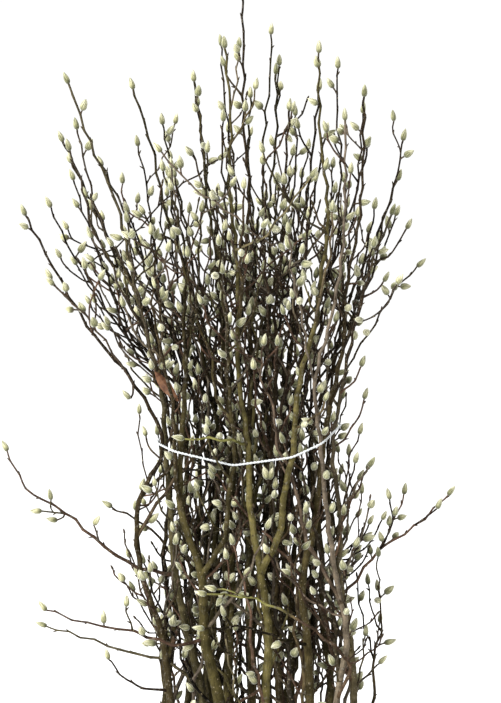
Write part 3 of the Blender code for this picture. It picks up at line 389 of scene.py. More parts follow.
class Thicket:
    # Every shoot placed so far, as rods, so that new growth can be kept clear of it.

    def __init__(self):
        # One row a rod: its two ends, its radius, and the numbers of its branch and its path.
        self.ends = np.zeros((0, 2, 3))
        self.radii = np.zeros(0)
        self.branch = np.zeros(0, int)
        self.path = np.zeros(0, int)

    def add(self, points, radii, branch, path):
        # One rod from each point to the next, as thick as the thicker of its two ends.
        count = len(points) - 1
        self.ends = np.concatenate([self.ends, np.stack([points[:-1], points[1:]], axis=1)])
        self.radii = np.append(self.radii, np.maximum(radii[:-1], radii[1:]))
        self.branch = np.append(self.branch, np.full(count, branch))
        self.path = np.append(self.path, np.full(count, path))

    def isClear(self, points, radii, gap, butBranch=None, butPaths=()):
        # True if the shoot keeps gap from all but a branch, or but some paths, that it may touch.
        reach = radii.max() + gap + 0.015
        low, high = points.min(0) - reach, points.max(0) + reach
        near = ((self.ends.max(1) > low) & (self.ends.min(1) < high)).all(1)
        if butBranch is not None:
            near &= self.branch != butBranch
        for path in butPaths:
            near &= self.path != path
        if not near.any():
            return True
        apart = rodGaps(points[:-1], points[1:], self.ends[near, 0], self.ends[near, 1])
        thick = np.maximum(radii[:-1], radii[1:])[:, None] + self.radii[near][None]
        return bool((apart - thick).min() > gap)


def plant(thicket, grown, number, kind, points, radii, wood):
    # Adds a finished shoot to the thicket and to the list of shoots. So many of its points as wood says are
    # wood, and the rest are its bud.
    thicket.add(points, radii, number, len(grown))
    grown.append({"branch": number, "kind": kind, "points": points, "radii": radii, "wood": wood})


def nudges():
    # Steps aside to try, nearest first: mostly in depth, then a little sideways as well.
    aside, deep = sheaf["nudge"]
    steps = [(x * aside, y * deep) for y in range(-9, 10) for x in range(-3, 4)]
    return sorted(steps, key=lambda s: abs(s[1]) + 3.5 * abs(s[0]))


def bentClear(points, radii, thicket, branch, fixed, name):
    # The shoot moved aside by the smallest step that clears the other branches. Its root stays in place.
    share = np.clip(distances(points) / fixed, 0, 1)[:, None]
    for x, y in nudges():
        moved = points + share * np.array([x, y, 0.0])
        if thicket.isClear(moved, radii, sheaf["clearGap"], butBranch=branch):
            return moved
    raise ValueError(f"{name} finds no clear way: move its points")


def sheafStem(foot, tip):
    # Points of a stem that leans in to the tie and out again above it, from its foot to its tip.
    foot, tip = np.array((*foot, 0.0)), np.array(tip)
    waist = np.array((foot[0] * sheaf["waist"], foot[1] * sheaf["waist"], sheaf["waistHeight"]))
    shoulder = waist + (tip - waist) * (0.30, 0.30, 0.40)
    return [foot, foot * 0.97 + (0, 0, 0.22), foot * 0.86 + (0, 0, 0.45), waist, shoulder, tip]


def pointAtHeight(path, height):
    # Index of the path's point nearest to that height.
    return int(np.argmin(abs(path["points"][:path["wood"], 2] - height)))


def stringHeight(x, y):
    # Height of the string over a place: it slants, and hangs lower in the middle than at the sides.
    bow = stringTie["bow"] * np.minimum(abs(x), stringTie["bowReach"]) ** 2
    return stringTie["height"] + stringTie["riseRight"] * x + stringTie["riseBack"] * y + bow


def forkPath(stem, root, tip):
    # Points of a fork, which leaves its stem at a wide angle and then turns up. One that leaves below the tie
    # keeps close beside its stem until it is past the string.
    tip = np.array(tip)
    step = tip - root
    if root[2] > stringHeight(root[0], root[1]) + 0.015:
        return [root, root + step * (0.16, 0.16, 0.10), root + step * (0.58, 0.58, 0.46), tip]
    tie = stringHeight(root[0], root[1]) + 0.015
    waist = np.array([np.interp(tie, stem[:, 2], stem[:, k]) for k in range(3)])
    beside = waist + unit((tip - waist) * (1, 1, 0)) * 0.016
    lower, upper = (root + waist) / 2 + (beside - waist) * 0.9, beside + (tip - beside) * (0.5, 0.5, 0.42)
    return [root, lower, beside, upper, tip]


def growStems(thicket, grown):
    # The main stem of each branch, from its level sawn end to the bud at its tip.
    for number, branch in enumerate(branches):
        route = branch.get("stem") or sheafStem(branch["foot"], branch["tip"])
        route = [np.array(p, float) for p in route]
        endDirection = unit(route[-1] - route[-2])
        route[-1] = route[-1] - endDirection * flowerBud["length"]
        sawn = route[0] + (0, 0, sheaf["sawnLength"])
        route = [sawn, *route[1:]]
        count = round(lengthOf(route) / stemWood["stemStep"]) + 1
        points = jointed(flowing(route, count), stemWood["sway"], number * 1.7)
        points = np.vstack([sawn - (0, 0, sheaf["sawnLength"]), points])
        share = np.linspace(0, 1, len(points))
        slender = stemWood["tipRadius"]
        radii = slender + (branch["butt"] - slender) * (1 - share) ** stemWood["taper"]
        wood = len(points)
        points, radii = withBud(points, radii, endDirection)
        points = bentClear(points, radii, thicket, number, 0.35, f"stem {number + 1}")
        plant(thicket, grown, number, "stem", points, radii, wood)


def placeShoot(thicket, grown, number, route, root, kind):
    # A listed fork or side shoot that starts on the wood of its own branch.
    parent, index = root
    share = stemWood["forkShare"]
    if kind == "fork":
        share = branches[number].get("forkShare", share)
    startRadius = min(grown[parent]["radii"][index] * share, stemWood["forkMostRadius"])
    if kind == "shoot":
        startRadius = min(startRadius, stemWood["twigRadius"] + 0.004 * lengthOf(route))
    route = [grown[parent]["points"][index], *[np.array(p, float) for p in route[1:]]]
    endDirection = unit(route[-1] - route[-2])
    route[-1] = route[-1] - endDirection * flowerBud["length"]
    count = max(3, round(lengthOf(route) / stemWood["shootStep"]) + 1)
    points = jointed(flowing(route, count), stemWood["sway"] * 0.8, number * 2.3 + len(grown))
    radii = np.linspace(startRadius, stemWood["twigTipRadius"], len(points))
    wood = len(points)
    points, radii = withBud(points, radii, endDirection)
    name = f"{kind} {len(grown)} of branch {number + 1}"
    points = bentClear(points, radii, thicket, number, 0.08, name)
    plant(thicket, grown, number, kind, points, radii, wood)


def nearestWood(grown, number, point):
    # (path, index) of the point on this branch's wood nearest to a given one.
    found = [(np.linalg.norm(path["points"][:path["wood"] - 1] - point, axis=1), k)
             for k, path in enumerate(grown) if path["branch"] == number]
    gaps, k = min(found, key=lambda item: item[0].min())
    return k, int(np.argmin(gaps))


def growForks(thicket, grown):
    # The forks of each branch. One with more than two entries is a whole path, which starts on the nearest
    # wood. Any other is the height at which it leaves the stem, and its tip.
    for number, branch in enumerate(branches):
        for fork in branch["forks"]:
            if len(fork) > 2:
                root = nearestWood(grown, number, np.array(fork[0]))
                placeShoot(thicket, grown, number, fork, root, "fork")
                continue
            index = pointAtHeight(grown[number], fork[0])
            stem = grown[number]["points"]
            route = forkPath(stem, stem[index], fork[1])
            placeShoot(thicket, grown, number, route, (number, index), "fork")


def growShoots(thicket, grown):
    # The listed side shoots, each from the nearest wood of its branch.
    for number, branch in enumerate(branches):
        for route in branch["shoots"]:
            root = nearestWood(grown, number, np.array(route[0]))
            placeShoot(thicket, grown, number, route, root, "shoot")


def twig(root, direction, side, length, draw):
    # Points of a side twig that leaves at a wide angle and turns up, up to the neck of its bud.
    lean = math.radians(draw.uniform(38, 62))
    out = direction * math.cos(lean) + side * math.sin(lean)
    up = unit(out * 0.55 + np.array((0, 0, 0.55)) + direction * 0.2)
    first = root + out * length * 0.4
    second = first + unit(out * 0.55 + up * 0.45) * length * 0.32
    points = np.array([root, first, second, second + up * length * 0.28])
    return jointed(points, 0.0012, draw.uniform(0, 6)), up


def growLeaningTwigs(thicket, grown):
    # The shortest side buds that reach from one stem to the next and rest on it, as few as hold all branches
    # together in one group.
    reaches, (shortest, longest) = [], sheaf["leanSpans"]
    for k in range(len(branches)):
        for i in range(4, grown[k]["wood"] - 2):
            root = grown[k]["points"][i]
            if abs(root[2] - stringTie["height"]) < 0.03 or root[2] > sheaf["leanHighest"]:
                continue
            for other in range(len(branches)):
                to = grown[other]
                a, b = to["points"][3:to["wood"] - 1], to["points"][4:to["wood"]]
                t = np.clip(((root - a) * (b - a)).sum(1) / ((b - a) ** 2).sum(1), 0.04, 0.96)
                thick = to["radii"][3:to["wood"] - 1] * (1 - t) + to["radii"][4:to["wood"]] * t
                for spot, radius in zip(a + (b - a) * t[:, None], thick):
                    span = np.linalg.norm(spot - root)
                    if other != k and flowerBud["length"] + shortest < span < longest:
                        reaches.append((span, k, other, tuple(root), tuple(spot), radius))
    group = list(range(len(branches)))
    for span, k, other, root, spot, radius in sorted(reaches):
        if group[k] == group[other]:
            continue
        root, spot = np.array(root), np.array(spot)
        neck = spot - unit(spot - root) * (radius + sheaf["leanGap"] + flowerBud["length"])
        radii = np.array([stemWood["twigRadius"], stemWood["twigTipRadius"]])
        points, radii = withBud(np.array([root, neck]), radii, spot - root)
        if thicket.isClear(points, radii, sheaf["clearGap"] / 2, butPaths=(k, other)):
            plant(thicket, grown, k, "lean", points, radii, 2)
            group = [group[k] if g == group[other] else g for g in group]
    if len(set(group)) > 1:
        raise ValueError(f"the branches stand in separate groups: {group}")


def growTwigs(thicket, grown, draw, each, gap, lengths=sideTwigs["lengths"], fine=False):
    # Side twigs by rule: spread evenly along each branch's wood and turned by the golden angle. Each is
    # redrawn until it keeps clear of everything but its own parent.
    for number in range(len(branches)):
        parents = [k for k, p in enumerate(grown)
                   if p["branch"] == number and p["kind"] in ("stem", "fork", "long")]
        for n in range(each):
            for _ in range(sideTwigs["tries"]):
                parent = parents[int(draw.random() * len(parents))]
                path = grown[parent]
                share = (0.18 + 0.8 * ((n * 0.618 + draw.random() * 0.35) % 1)) * (path["wood"] - 1)
                index = min(int(share), path["wood"] - 2)
                along = share - index
                a, b = path["points"][index], path["points"][index + 1]
                root = a + (b - a) * along
                if root[2] < sideTwigs["lowest"]:
                    continue
                angle = goldenAngle * (n + number) + draw.uniform(-0.8, 0.8)
                direction = unit(b - a)
                length = draw.uniform(*lengths)
                points, up = twig(root, direction, sideOf(direction, angle), length, draw)
                if points[-1][2] > sideTwigs["highest"]:
                    continue
                thin = min(stemWood["twigRadius"], path["radii"][index + 1] * 0.85)
                radii = np.linspace(thin, stemWood["twigTipRadius"], len(points))
                size = draw.uniform(0.88, 1.06)
                if fine and draw.random() < fineGrowth["budlessEnds"]:
                    size = fineGrowth["budlessSize"]
                points, radii = withBud(points, radii, up, flowerBud["length"] * size,
                                        flowerBud["radius"] * size)
                if fine and not insideCrown(points, draw):
                    continue
                if thicket.isClear(points, radii, gap, butPaths=(parent,)):
                    plant(thicket, grown, number, "twig", points, radii, 4)
                    break


def convexOutline(points):
    # Corners of the convex outline of points (x, y), in order round it.
    outline = []
    for run in (sorted(points), sorted(points, reverse=True)):
        half = []
        for p in run:
            while len(half) > 1 and ((half[-1][0] - half[-2][0]) * (p[1] - half[-2][1])
                                     - (half[-1][1] - half[-2][1]) * (p[0] - half[-2][0])) <= 0:
                half.pop()
            half.append(p)
        outline += half[:-1]
    return outline


def stringCorners(grown):
    # The loop's corners: the convex outline of the stems where the string's plane cuts them. They are moved
    # outwards until the string clears each of them.
    room = [p["radii"][:p["wood"]].max() * 0.6 + stringTie["radius"] for p in grown]
    circle = np.arange(0, 2 * math.pi, math.pi / 8)
    for _ in range(5):
        rim = []
        for path, reach in zip(grown, room):
            points = path["points"]
            above = points[:, 2] - stringHeight(points[:, 0], points[:, 1])
            for i in np.flatnonzero(above[:-1] * above[1:] < 0):
                x, y = (points[i] + (points[i + 1] - points[i]) * above[i] / (above[i] - above[i + 1]))[:2]
                rim += [(x + reach * math.cos(angle), y + reach * math.sin(angle)) for angle in circle]
        corners = np.array([(x, y, stringHeight(x, y)) for x, y in convexOutline(rim)])
        onward = np.roll(corners, -1, axis=0)
        for k, path in enumerate(grown):
            apart = rodGaps(path["points"][:-1], path["points"][1:], corners, onward)
            thick = np.maximum(path["radii"][:-1], path["radii"][1:])[:, None]
            thick = thick + stringTie["radius"] + stringTie["gap"]
            room[k] += 1.05 * max(0.0, (thick - apart).max())
    return corners


def knotAndEnds(corners):
    # (points, radii) of the knot and of the string's two ends, at the middle of the longest free span at the
    # back of the loop.
    onward = np.roll(corners, -1, axis=0)
    spans = np.linalg.norm(onward - corners, axis=1) * ((corners + onward)[:, 1] > 0.10)
    a, b = corners[spans.argmax()], onward[spans.argmax()]
    middle, along = (a + b) / 2, unit(b - a)
    out = unit(np.array([-along[1], along[0], 0.0]))
    out = out if out[1] > 0 else -out
    stations, girths = np.array([-1, -0.55, 0, 0.55, 1]), np.array([0.35, 0.85, 1, 0.85, 0.35])
    lump = middle + out * 0.0030 + along * stations[:, None] * stringTie["knotRadius"]
    found = [(lump, stringTie["knotRadius"] * girths)]
    for side in (-1, 1):
        steps = ((0.004, 0, 0), (0.009, 0.010, -0.004), (0.011, 0.017, -0.017),
                 (0.009, 0.021, -stringTie["endLength"]))
        line = [middle + out * o + along * side * s + np.array([0, 0, z]) for o, s, z in steps]
        found.append((np.array(line), np.full(4, stringTie["radius"] * 0.95)))
    return found


def leafBase(grown):
    # Where the dry leaf's stalk meets its twig, beside the bud at the end of the chosen side shoot.
    path = [p for p in grown if p["branch"] == dryLeaf["branch"] and p["kind"] == "shoot"][dryLeaf["shoot"]]
    neck = path["points"][path["wood"] - 1]
    away = stemWood["twigTipRadius"] + dryLeaf["gap"] + dryLeaf["stalkRadius"]
    return neck + unit(np.array(dryLeaf["hangsTo"]) * (1, 1, 0)) * away


# Side shoots whose young bark is still yellow-green: branch, shoot, and where along it the colour comes in
freshShoots = ((1, -1, 0.0, 0.2), (5, 0, 0.55, 0.75), (5, 1, 0.0, 0.2))


def growAll():
    # All growth that the solids have too, from the same values and random draws, and the string's corners.
    thicket, grown, draw = Thicket(), [], random.Random(sheaf["seed"])
    growStems(thicket, grown)
    growForks(thicket, grown)
    corners = stringCorners(grown)
    loop = np.vstack([corners, corners[:1]])
    for points, radii in [(loop, np.full(len(loop), stringTie["radius"])), *knotAndEnds(corners)]:
        thicket.add(points, radii, -1, -1)
    growShoots(thicket, grown)
    for number, order, start, full in freshShoots:
        [p for p in grown if p["branch"] == number and p["kind"] == "shoot"][order]["fresh"] = (start, full)
    leaf = np.array([leafBase(grown), leafBase(grown) + dryLeaf["hangsTo"]])
    thicket.add(leaf, np.full(2, dryLeaf["halfWidth"] + 0.001), -2, -2)
    growLeaningTwigs(thicket, grown)
    growTwigs(thicket, grown, draw, sideTwigs["each"], sheaf["clearGap"])
    return thicket, grown, corners


# Finer growth, which the solids leave out: more side twigs, and a bud at each joint of the wood
fineGrowth = {
    "extraTwigs": 23,            # a branch
    "extraLengths": (0.045, 0.200),
    "budlessEnds": 0.55,         # share of those that end in a small leaf bud
    "budlessSize": 0.25,         # and how much of a flower bud's size is left there
    "longSets": (                # how many a branch, heights of their roots, lengths, leans, radii
        (6, (0.66, 1.08), (0.16, 0.42), (0.75, 1.70), (0.0021, 0.0036)),
        (2, (0.03, 0.62), (0.12, 0.40), (0.50, 1.40), (0.0026, 0.0042)),
        (5, (0.03, 0.50), (0.30, 0.75), (0.04, 0.30), (0.0034, 0.0060)),
        (3, (0.40, 0.85), (0.16, 0.50), (0.10, 0.70), (0.0024, 0.0040)),
        (2, (0.10, 0.62), (0.12, 0.30), (0.30, 1.20), (0.0021, 0.0034)),
    ),
    "longTries": 60,
    "longStep": 0.050,
    "longAside": 0.009,          # space that one leaves beside its parent
    "longSway": 0.0060,
    "crown": (                   # how far left and right the fine growth reaches at a height
        (0.00, -0.17, 0.19), (0.20, -0.24, 0.25), (0.40, -0.26, 0.27), (0.55, -0.24, 0.25),
        (0.68, -0.20, 0.18), (0.76, -0.21, 0.18), (0.85, -0.25, 0.19), (0.94, -0.30, 0.22),
        (1.03, -0.335, 0.23), (1.10, -0.33, 0.225), (1.17, -0.27, 0.21), (1.24, -0.16, 0.17),
        (1.31, -0.07, 0.13), (1.37, -0.03, 0.04), (1.47, -0.03, 0.00),
    ),
    # share of the shoots that is let through at a height
    "crownShare": ((0.0, 1.0), (0.95, 1.0), (1.05, 0.45), (1.15, 0.16), (1.30, 0.10)),
    "crownFront": 0.66,          # its depth to the front and to the back, as a share of its half width
    "crownBack": 0.86,
    "clearGap": 0.0005,
    "jointEvery": (0.020, 0.031),
    "thickestWood": 0.0046,      # thicker wood carries few buds
    "thickShare": 0.35,          # share of its flower buds that are kept
    "barestWood": 0.0085,        # thicker wood carries no leaf buds
    # share of the joints with a flower bud at a height
    "flowerShare": ((0.0, 0.13), (0.60, 0.14), (0.90, 0.13), (1.5, 0.22)),
    "flowerLean": (24, 72),      # degrees from the wood
    "flowerStray": ((-0.25, 0.25), (-0.25, 0.25), (-0.1, 0.3)),   # added to its direction
    "flowerTries": 4,
    "leafBudLean": (18, 42),
    "stalk": (0.003, 0.011),
    "stalkRadius": 0.0014,
    "budLength": (0.0175, 0.0245),
    "budRadius": (0.0053, 0.0069),
    "leafBudLength": (0.0045, 0.0085),
    "leafBudRadius": (0.0009, 0.0014),
    "shortestBud": 0.010,        # where a twig's end bud is shorter, it is a leaf bud
    "endBud": (0.0085, 0.0018),  # with this length and radius
    "seed": 29,
}

woodLook = {
    "sides": {"stem": 10, "fork": 8, "shoot": 7, "lean": 6, "long": 6, "twig": 6},
    "fineStep": 0.003,         # of the smooth curve that the rings are placed on
    "jointRings": (-0.0032, 0.0, 0.0036, 0.012),   # places of a joint's rings, before and after it
    "leastStep": 0.0012,       # between two rings
    "crook": 0.0026,           # how far thin wood steps aside at a joint
    "swell": 0.16,             # of the radius, at a joint
    "swellLength": 0.0026,
    "collar": 0.50,            # of the radius, where a shoot leaves its parent
    "ridge": 0.030,
    "thickest": 0.011,         # radius of wood that looks oldest
    "redShare": 0.18,          # share of the thin shoots that are red-brown
    "redTones": (0.6, 1.6),
    "thinTones": (0.12, 2.4),    # how much darker and paler a thin shoot is than its branch
    "thickTones": (0.75, 1.2),
    "mostGrey": 0.50,            # share of grey on the greyest thin shoot
    "seed": 5,
}
# Each branch's bark: how pale it is, where the branches of the middle and back rows are darker as painted
# shade, how grey (not at all where it isn't named), and its tint, which runs from red-brown at -1 to green at
# 1
branchTonesAndShade = (0.62, 1.35, 0.75, 0.85, 0.62, 0.90, 0.72, 0.50, 0.62, 0.40, 0.58, 0.60, 0.40, 0.50, 0.36,
               0.42, 0.40, 0.42, 0.36, 0.40, 0.36)
branchGreys = {5: 0.55, 3: 0.10, 6: 0.2}
branchTints = (0.15, 0.35, 0.05, 0.25, -0.25, -0.45, 0.2, -0.05, 0.3, 0.05, 0.1, -0.35, 0.25, 0.0, 0.2,
               -0.2, 0.3, -0.1, 0.1, 0.25, 0.0)


def insideCrown(points, draw):
    # True if the points lie in the crown's outline, an oval at each height that its left and right reach
    # give. Higher up, only a share of the shoots is let through, so that the crown thins out to its top.
    if draw.random() > np.interp(points[:, 2].max(), *zip(*fineGrowth["crownShare"])):
        return False
    heights, left, right = (np.array(column) for column in zip(*fineGrowth["crown"]))
    low, high = np.interp(points[:, 2], heights, left), np.interp(points[:, 2], heights, right)
    half = (high - low) / 2
    deep = half * np.where(points[:, 1] < 0, fineGrowth["crownFront"], fineGrowth["crownBack"])
    share = ((points[:, 0] - (low + high) / 2) / half) ** 2 + (points[:, 1] / deep) ** 2
    return bool(share.max() < 1 and points[:, 2].min() > 0.02)


def insideString(corners, points, room):
    # True if every point at which the shoot cuts the string's plane lies in the string's loop, room from it.
    above = points[:, 2] - stringHeight(points[:, 0], points[:, 1])
    onward = np.roll(corners, -1, axis=0)
    edge = (onward - corners)[:, :2]
    inward = np.stack([-edge[:, 1], edge[:, 0]], axis=1) / np.linalg.norm(edge, axis=1, keepdims=True)
    for i in np.flatnonzero(above[:-1] * above[1:] < 0):
        spot = points[i] + (points[i + 1] - points[i]) * above[i] / (above[i] - above[i + 1])
        if ((spot[:2] - corners[:, :2]) * inward).sum(1).min() < room:
            return False
    return True


def growLongShoots(thicket, grown, corners, draw, each, rootHeights, lengths, leans, thickness):
    # Long thin shoots: each starts on its branch's wood and rises beside it, a little further out with every
    # step, carried straight on where the wood ends.
    for number in range(len(branches)):
        parents = [k for k, p in enumerate(grown) if p["branch"] == number and p["kind"] in ("stem", "fork")]
        for _ in range(each):
            for _ in range(fineGrowth["longTries"]):
                parent = parents[int(draw.random() ** 1.4 * len(parents))]
                path = grown[parent]
                line = path["points"][:path["wood"]]
                along = distances(line)
                start = draw.uniform(0.03, along[-1] * 0.9)
                if not rootHeights[0] < np.interp(start, along, line[:, 2]) < rootHeights[1]:
                    continue
                length, lean = draw.uniform(*lengths), draw.uniform(*leans)
                turn, thick = draw.uniform(0, 2 * math.pi), draw.uniform(*thickness)
                s = np.linspace(0, length, max(4, round(length / fineGrowth["longStep"])))
                beyond = np.maximum(0, start + s - along[-1])[:, None] * unit(line[-1] - line[-2])
                out = np.array([math.cos(turn), math.sin(turn), 0.0])
                woodRadius = np.interp(start, along, path["radii"][:path["wood"]])
                aside = np.minimum(s * 0.8, woodRadius + fineGrowth["longAside"]) + lean * s
                points = placesAt(start + s, along, line) + beyond
                points = jointed(points + out * aside[:, None], fineGrowth["longSway"], draw.uniform(0, 6))
                thick = min(thick, woodRadius * 0.8)
                radii = np.linspace(thick, stemWood["twigTipRadius"], len(points))
                wood = len(points)
                points, radii = withBud(points, radii, points[-1] - points[-2])
                if (insideCrown(points, draw) and insideString(corners, points, thick + stringTie["radius"])
                        and thicket.isClear(points, radii, fineGrowth["clearGap"], butPaths=(parent,))):
                    plant(thicket, grown, number, "long", points, radii, wood)
                    break


def ontoWood(earlier, path):
    # The point of its branch's earlier wood that lies nearest to the shoot's root. On each straight run from
    # a to b that is a + (b - a) t, with t = (root - a).(b - a) / |b - a|^2, held between 0 and 1.
    root, spots = path["points"][0], []
    for other in earlier:
        if other["branch"] == path["branch"]:
            start, run = other["fine"]["line"][:-1], np.diff(other["fine"]["line"], axis=0)
            t = np.clip(((root - start) * run).sum(1) / (run ** 2).sum(1), 0, 1)
            spots.append(start + run * t[:, None])
    spots = np.concatenate(spots)
    return spots[np.argmin(((spots - root) ** 2).sum(1))]


def fineLine(path, draw):
    # The path's finer line: a smooth curve through its points that steps aside at each joint, as thin wood
    # does, with rings close before, at and after each joint. Also the wood's radius at each ring.
    coarse, coarseRadii = path["points"][:path["wood"]], path["radii"][:path["wood"]]
    dense = flowing(coarse, max(8, round(lengthOf(coarse) / woodLook["fineStep"])))
    along = np.linspace(0, lengthOf(dense), len(dense))
    coarseAlong = distances(coarse)
    joints = [coarseRadii[0] * 1.3 + draw.uniform(0.008, 0.020)]
    while joints[-1] < along[-1]:
        joints.append(joints[-1] + draw.uniform(*fineGrowth["jointEvery"]))
    joints = np.array(joints[:-1])
    if path["kind"] == "lean" or len(joints) == 0:
        joints = np.array([along[-1] * 0.5])
    stations = [0.0, along[-1]]
    for joint in joints:
        stations += [joint + step for step in woodLook["jointRings"]]
    stations = np.array(sorted(s for s in stations if 0 <= s <= along[-1]))
    stations = stations[np.append(True, np.diff(stations) > woodLook["leastStep"])]
    stations[-1] = along[-1]
    line = placesAt(stations, along, dense)
    radii = np.interp(stations, coarseAlong * along[-1] / coarseAlong[-1], coarseRadii) * 0.97
    turn = draw.uniform(0, 6.28) + np.arange(len(joints)) * (math.pi + 0.5)
    amount = woodLook["crook"] * np.clip(1.25 - radii / 0.007, 0.04, 1.0)
    amount = amount * np.clip(stations / 0.02, 0, 1) * np.clip((along[-1] - stations) / 0.012, 0, 1)
    if path["kind"] == "stem":
        amount = amount * np.clip((stations - 0.03) / 0.05, 0, 1)
    if path["kind"] == "lean":
        amount = amount * 0.2
    tangent = np.gradient(line, stations, axis=0)
    side, other = squareFrame(tangent / np.linalg.norm(tangent, axis=1, keepdims=True))
    line = (line + side * (np.interp(stations, joints, np.cos(turn)) * amount)[:, None]
            + other * (np.interp(stations, joints, np.sin(turn)) * amount)[:, None])
    toJoint = np.abs(stations[:, None] - joints[None]).min(1)
    radii = radii * (1 + woodLook["swell"] * np.exp(-(toJoint / woodLook["swellLength"]) ** 2)
                     * np.clip(1.4 - radii / 0.009, 0.0, 1.0))
    path["fine"] = {"line": line, "radii": radii, "along": stations, "joints": joints}


def insideBox(points):
    # True if the points stay in the solids' box, up to a hundredth of its sides further out.
    low, high = np.array(cadBox[0]), np.array(cadBox[1])
    room = (high - low) * 0.01
    return bool((points.min(0) > low - room).all() and (points.max(0) < high + room).all())


def jointBuds(thicket, grown):
    # Flower buds on short stalks and small leaf buds, one at each joint, turned by the golden angle. A flower
    # bud that would touch another shoot is turned on, and if no way is free a leaf bud takes its place.
    draw, flowers, leafBuds = random.Random(fineGrowth["seed"]), [], []
    heights, shares = zip(*fineGrowth["flowerShare"])
    for k, path in enumerate(grown):
        fine, turn = path["fine"], draw.uniform(0, 6.28)
        for s in fine["joints"][fine["joints"] < fine["along"][-1] - 0.006]:
            where, ahead = placesAt(np.array([s, s + 0.004]), fine["along"], fine["line"])
            direction, radius = unit(ahead - where), np.interp(s, fine["along"], fine["radii"])
            turn += goldenAngle
            wantsFlower = draw.random() < np.interp(where[2], heights, shares)
            if radius > fineGrowth["thickestWood"]:
                wantsFlower = wantsFlower and draw.random() < fineGrowth["thickShare"]
            placed = False
            for attempt in range(fineGrowth["flowerTries"] if wantsFlower else 0):
                lean = math.radians(draw.uniform(*fineGrowth["flowerLean"]))
                side = sideOf(direction, turn + attempt * 1.4)
                stray = np.array([draw.uniform(*between) for between in fineGrowth["flowerStray"]])
                out = unit(direction * math.cos(lean) + side * math.sin(lean) + stray)
                length, girth = draw.uniform(*fineGrowth["budLength"]), draw.uniform(*fineGrowth["budRadius"])
                neck = where + out * (radius + draw.uniform(*fineGrowth["stalk"]))
                rods = np.array([neck, neck + out * length * 0.3, neck + out * length * 0.75,
                                 neck + out * length])
                thick = np.array([0.0018, girth, girth * 0.8, 0.0004])
                if (neck[2] > 0.05 and insideBox(rods)
                        and thicket.isClear(rods, thick, fineGrowth["clearGap"], butPaths=(k,))):
                    thicket.add(rods, thick, path["branch"], -10 - len(flowers))
                    flowers.append({"branch": path["branch"], "root": where, "neck": neck, "out": out,
                                    "length": length, "radius": girth})
                    placed = True
                    break
            if not placed and radius < fineGrowth["barestWood"]:
                lean = math.radians(draw.uniform(*fineGrowth["leafBudLean"]))
                out = direction * math.cos(lean) + sideOf(direction, turn) * math.sin(lean)
                leafBuds.append({"branch": path["branch"], "root": where + out * radius * 0.3, "out": out,
                                 "length": radius * 0.8 + draw.uniform(*fineGrowth["leafBudLength"]),
                                 "radius": draw.uniform(*fineGrowth["leafBudRadius"])})
    return flowers, leafBuds


# Closed surfaces from grids of points
def closedGrids(rings, start, end, along, around, values):
    # rings[n, k, m] are the points of n closed surfaces, each k rings of m points from start to end, where a
    # fan closes it. The map's u is the distance round a ring, along its v, and values hold one number a ring.
    n, k, m = rings.shape[:3]
    points = np.concatenate([rings.reshape(n, k * m, 3), start[:, None], end[:, None]], axis=1)
    i, j = (a.ravel() for a in np.meshgrid(np.arange(k - 1), np.arange(m), indexing="ij"))
    onward = (j + 1) % m
    quads = np.stack([i * m + j, i * m + onward, (i + 1) * m + onward, (i + 1) * m + j], axis=1)
    j = np.arange(m)
    low = np.stack([np.full(m, k * m), (j + 1) % m, j], axis=1)
    high = np.stack([np.full(m, k * m + 1), (k - 1) * m + j, (k - 1) * m + (j + 1) % m], axis=1)
    tris = np.concatenate([low, high])
    base = (np.arange(n) * (k * m + 2))[:, None, None]
    i, j = (a.ravel() for a in np.meshgrid(np.arange(k - 1), np.arange(m), indexing="ij"))
    quadU = np.stack([j, j + 1, j + 1, j], axis=1)[None] / m * around[:, None, None]
    quadV = along[:, np.stack([i, i, i + 1, i + 1], axis=1)]
    j = np.arange(m)
    fanU = np.stack([j + 0.5, j + 1, j], axis=1), np.stack([j + 0.5, j, j + 1], axis=1)
    triU = np.concatenate(fanU)[None] / m * around[:, None, None]
    triV = np.repeat(along[:, [0, -1]], m, axis=1)[..., None] + np.zeros(3)
    spread = {name: np.concatenate([np.repeat(v, m, axis=1), v[:, :1], v[:, -1:]], axis=1).ravel()
              for name, v in values.items()}
    return {"points": points.reshape(-1, 3), "quads": (quads[None] + base).reshape(-1, 4),
            "tris": (tris[None] + base).reshape(-1, 3),
            "quadUv": np.stack([quadU, quadV], axis=-1).reshape(-1, 4, 2),
            "triUv": np.stack([triU, triV], axis=-1).reshape(-1, 3, 2), "values": spread, "material": 0}


def squareFrame(directions):
    # Two unit vectors square to each direction: the first is also square to the axis that the directions
    # lean on least.
    axis = np.eye(3)[np.abs(directions.reshape(-1, 3)).mean(0).argmin()]
    side = np.cross(directions, axis)
    side /= np.linalg.norm(side, axis=-1, keepdims=True)
    return side, np.cross(directions, side)


def unitRows(vectors):
    # Each vector of an array over its length.
    return vectors / np.linalg.norm(vectors, axis=-1, keepdims=True)


def ringsAround(side, other, sides):
    # For each pair of vectors, sides points on the unit circle that they span.
    angle = np.arange(sides) / sides * 2 * math.pi
    return side[:, None] * np.cos(angle)[None, :, None] + other[:, None] * np.sin(angle)[None, :, None]


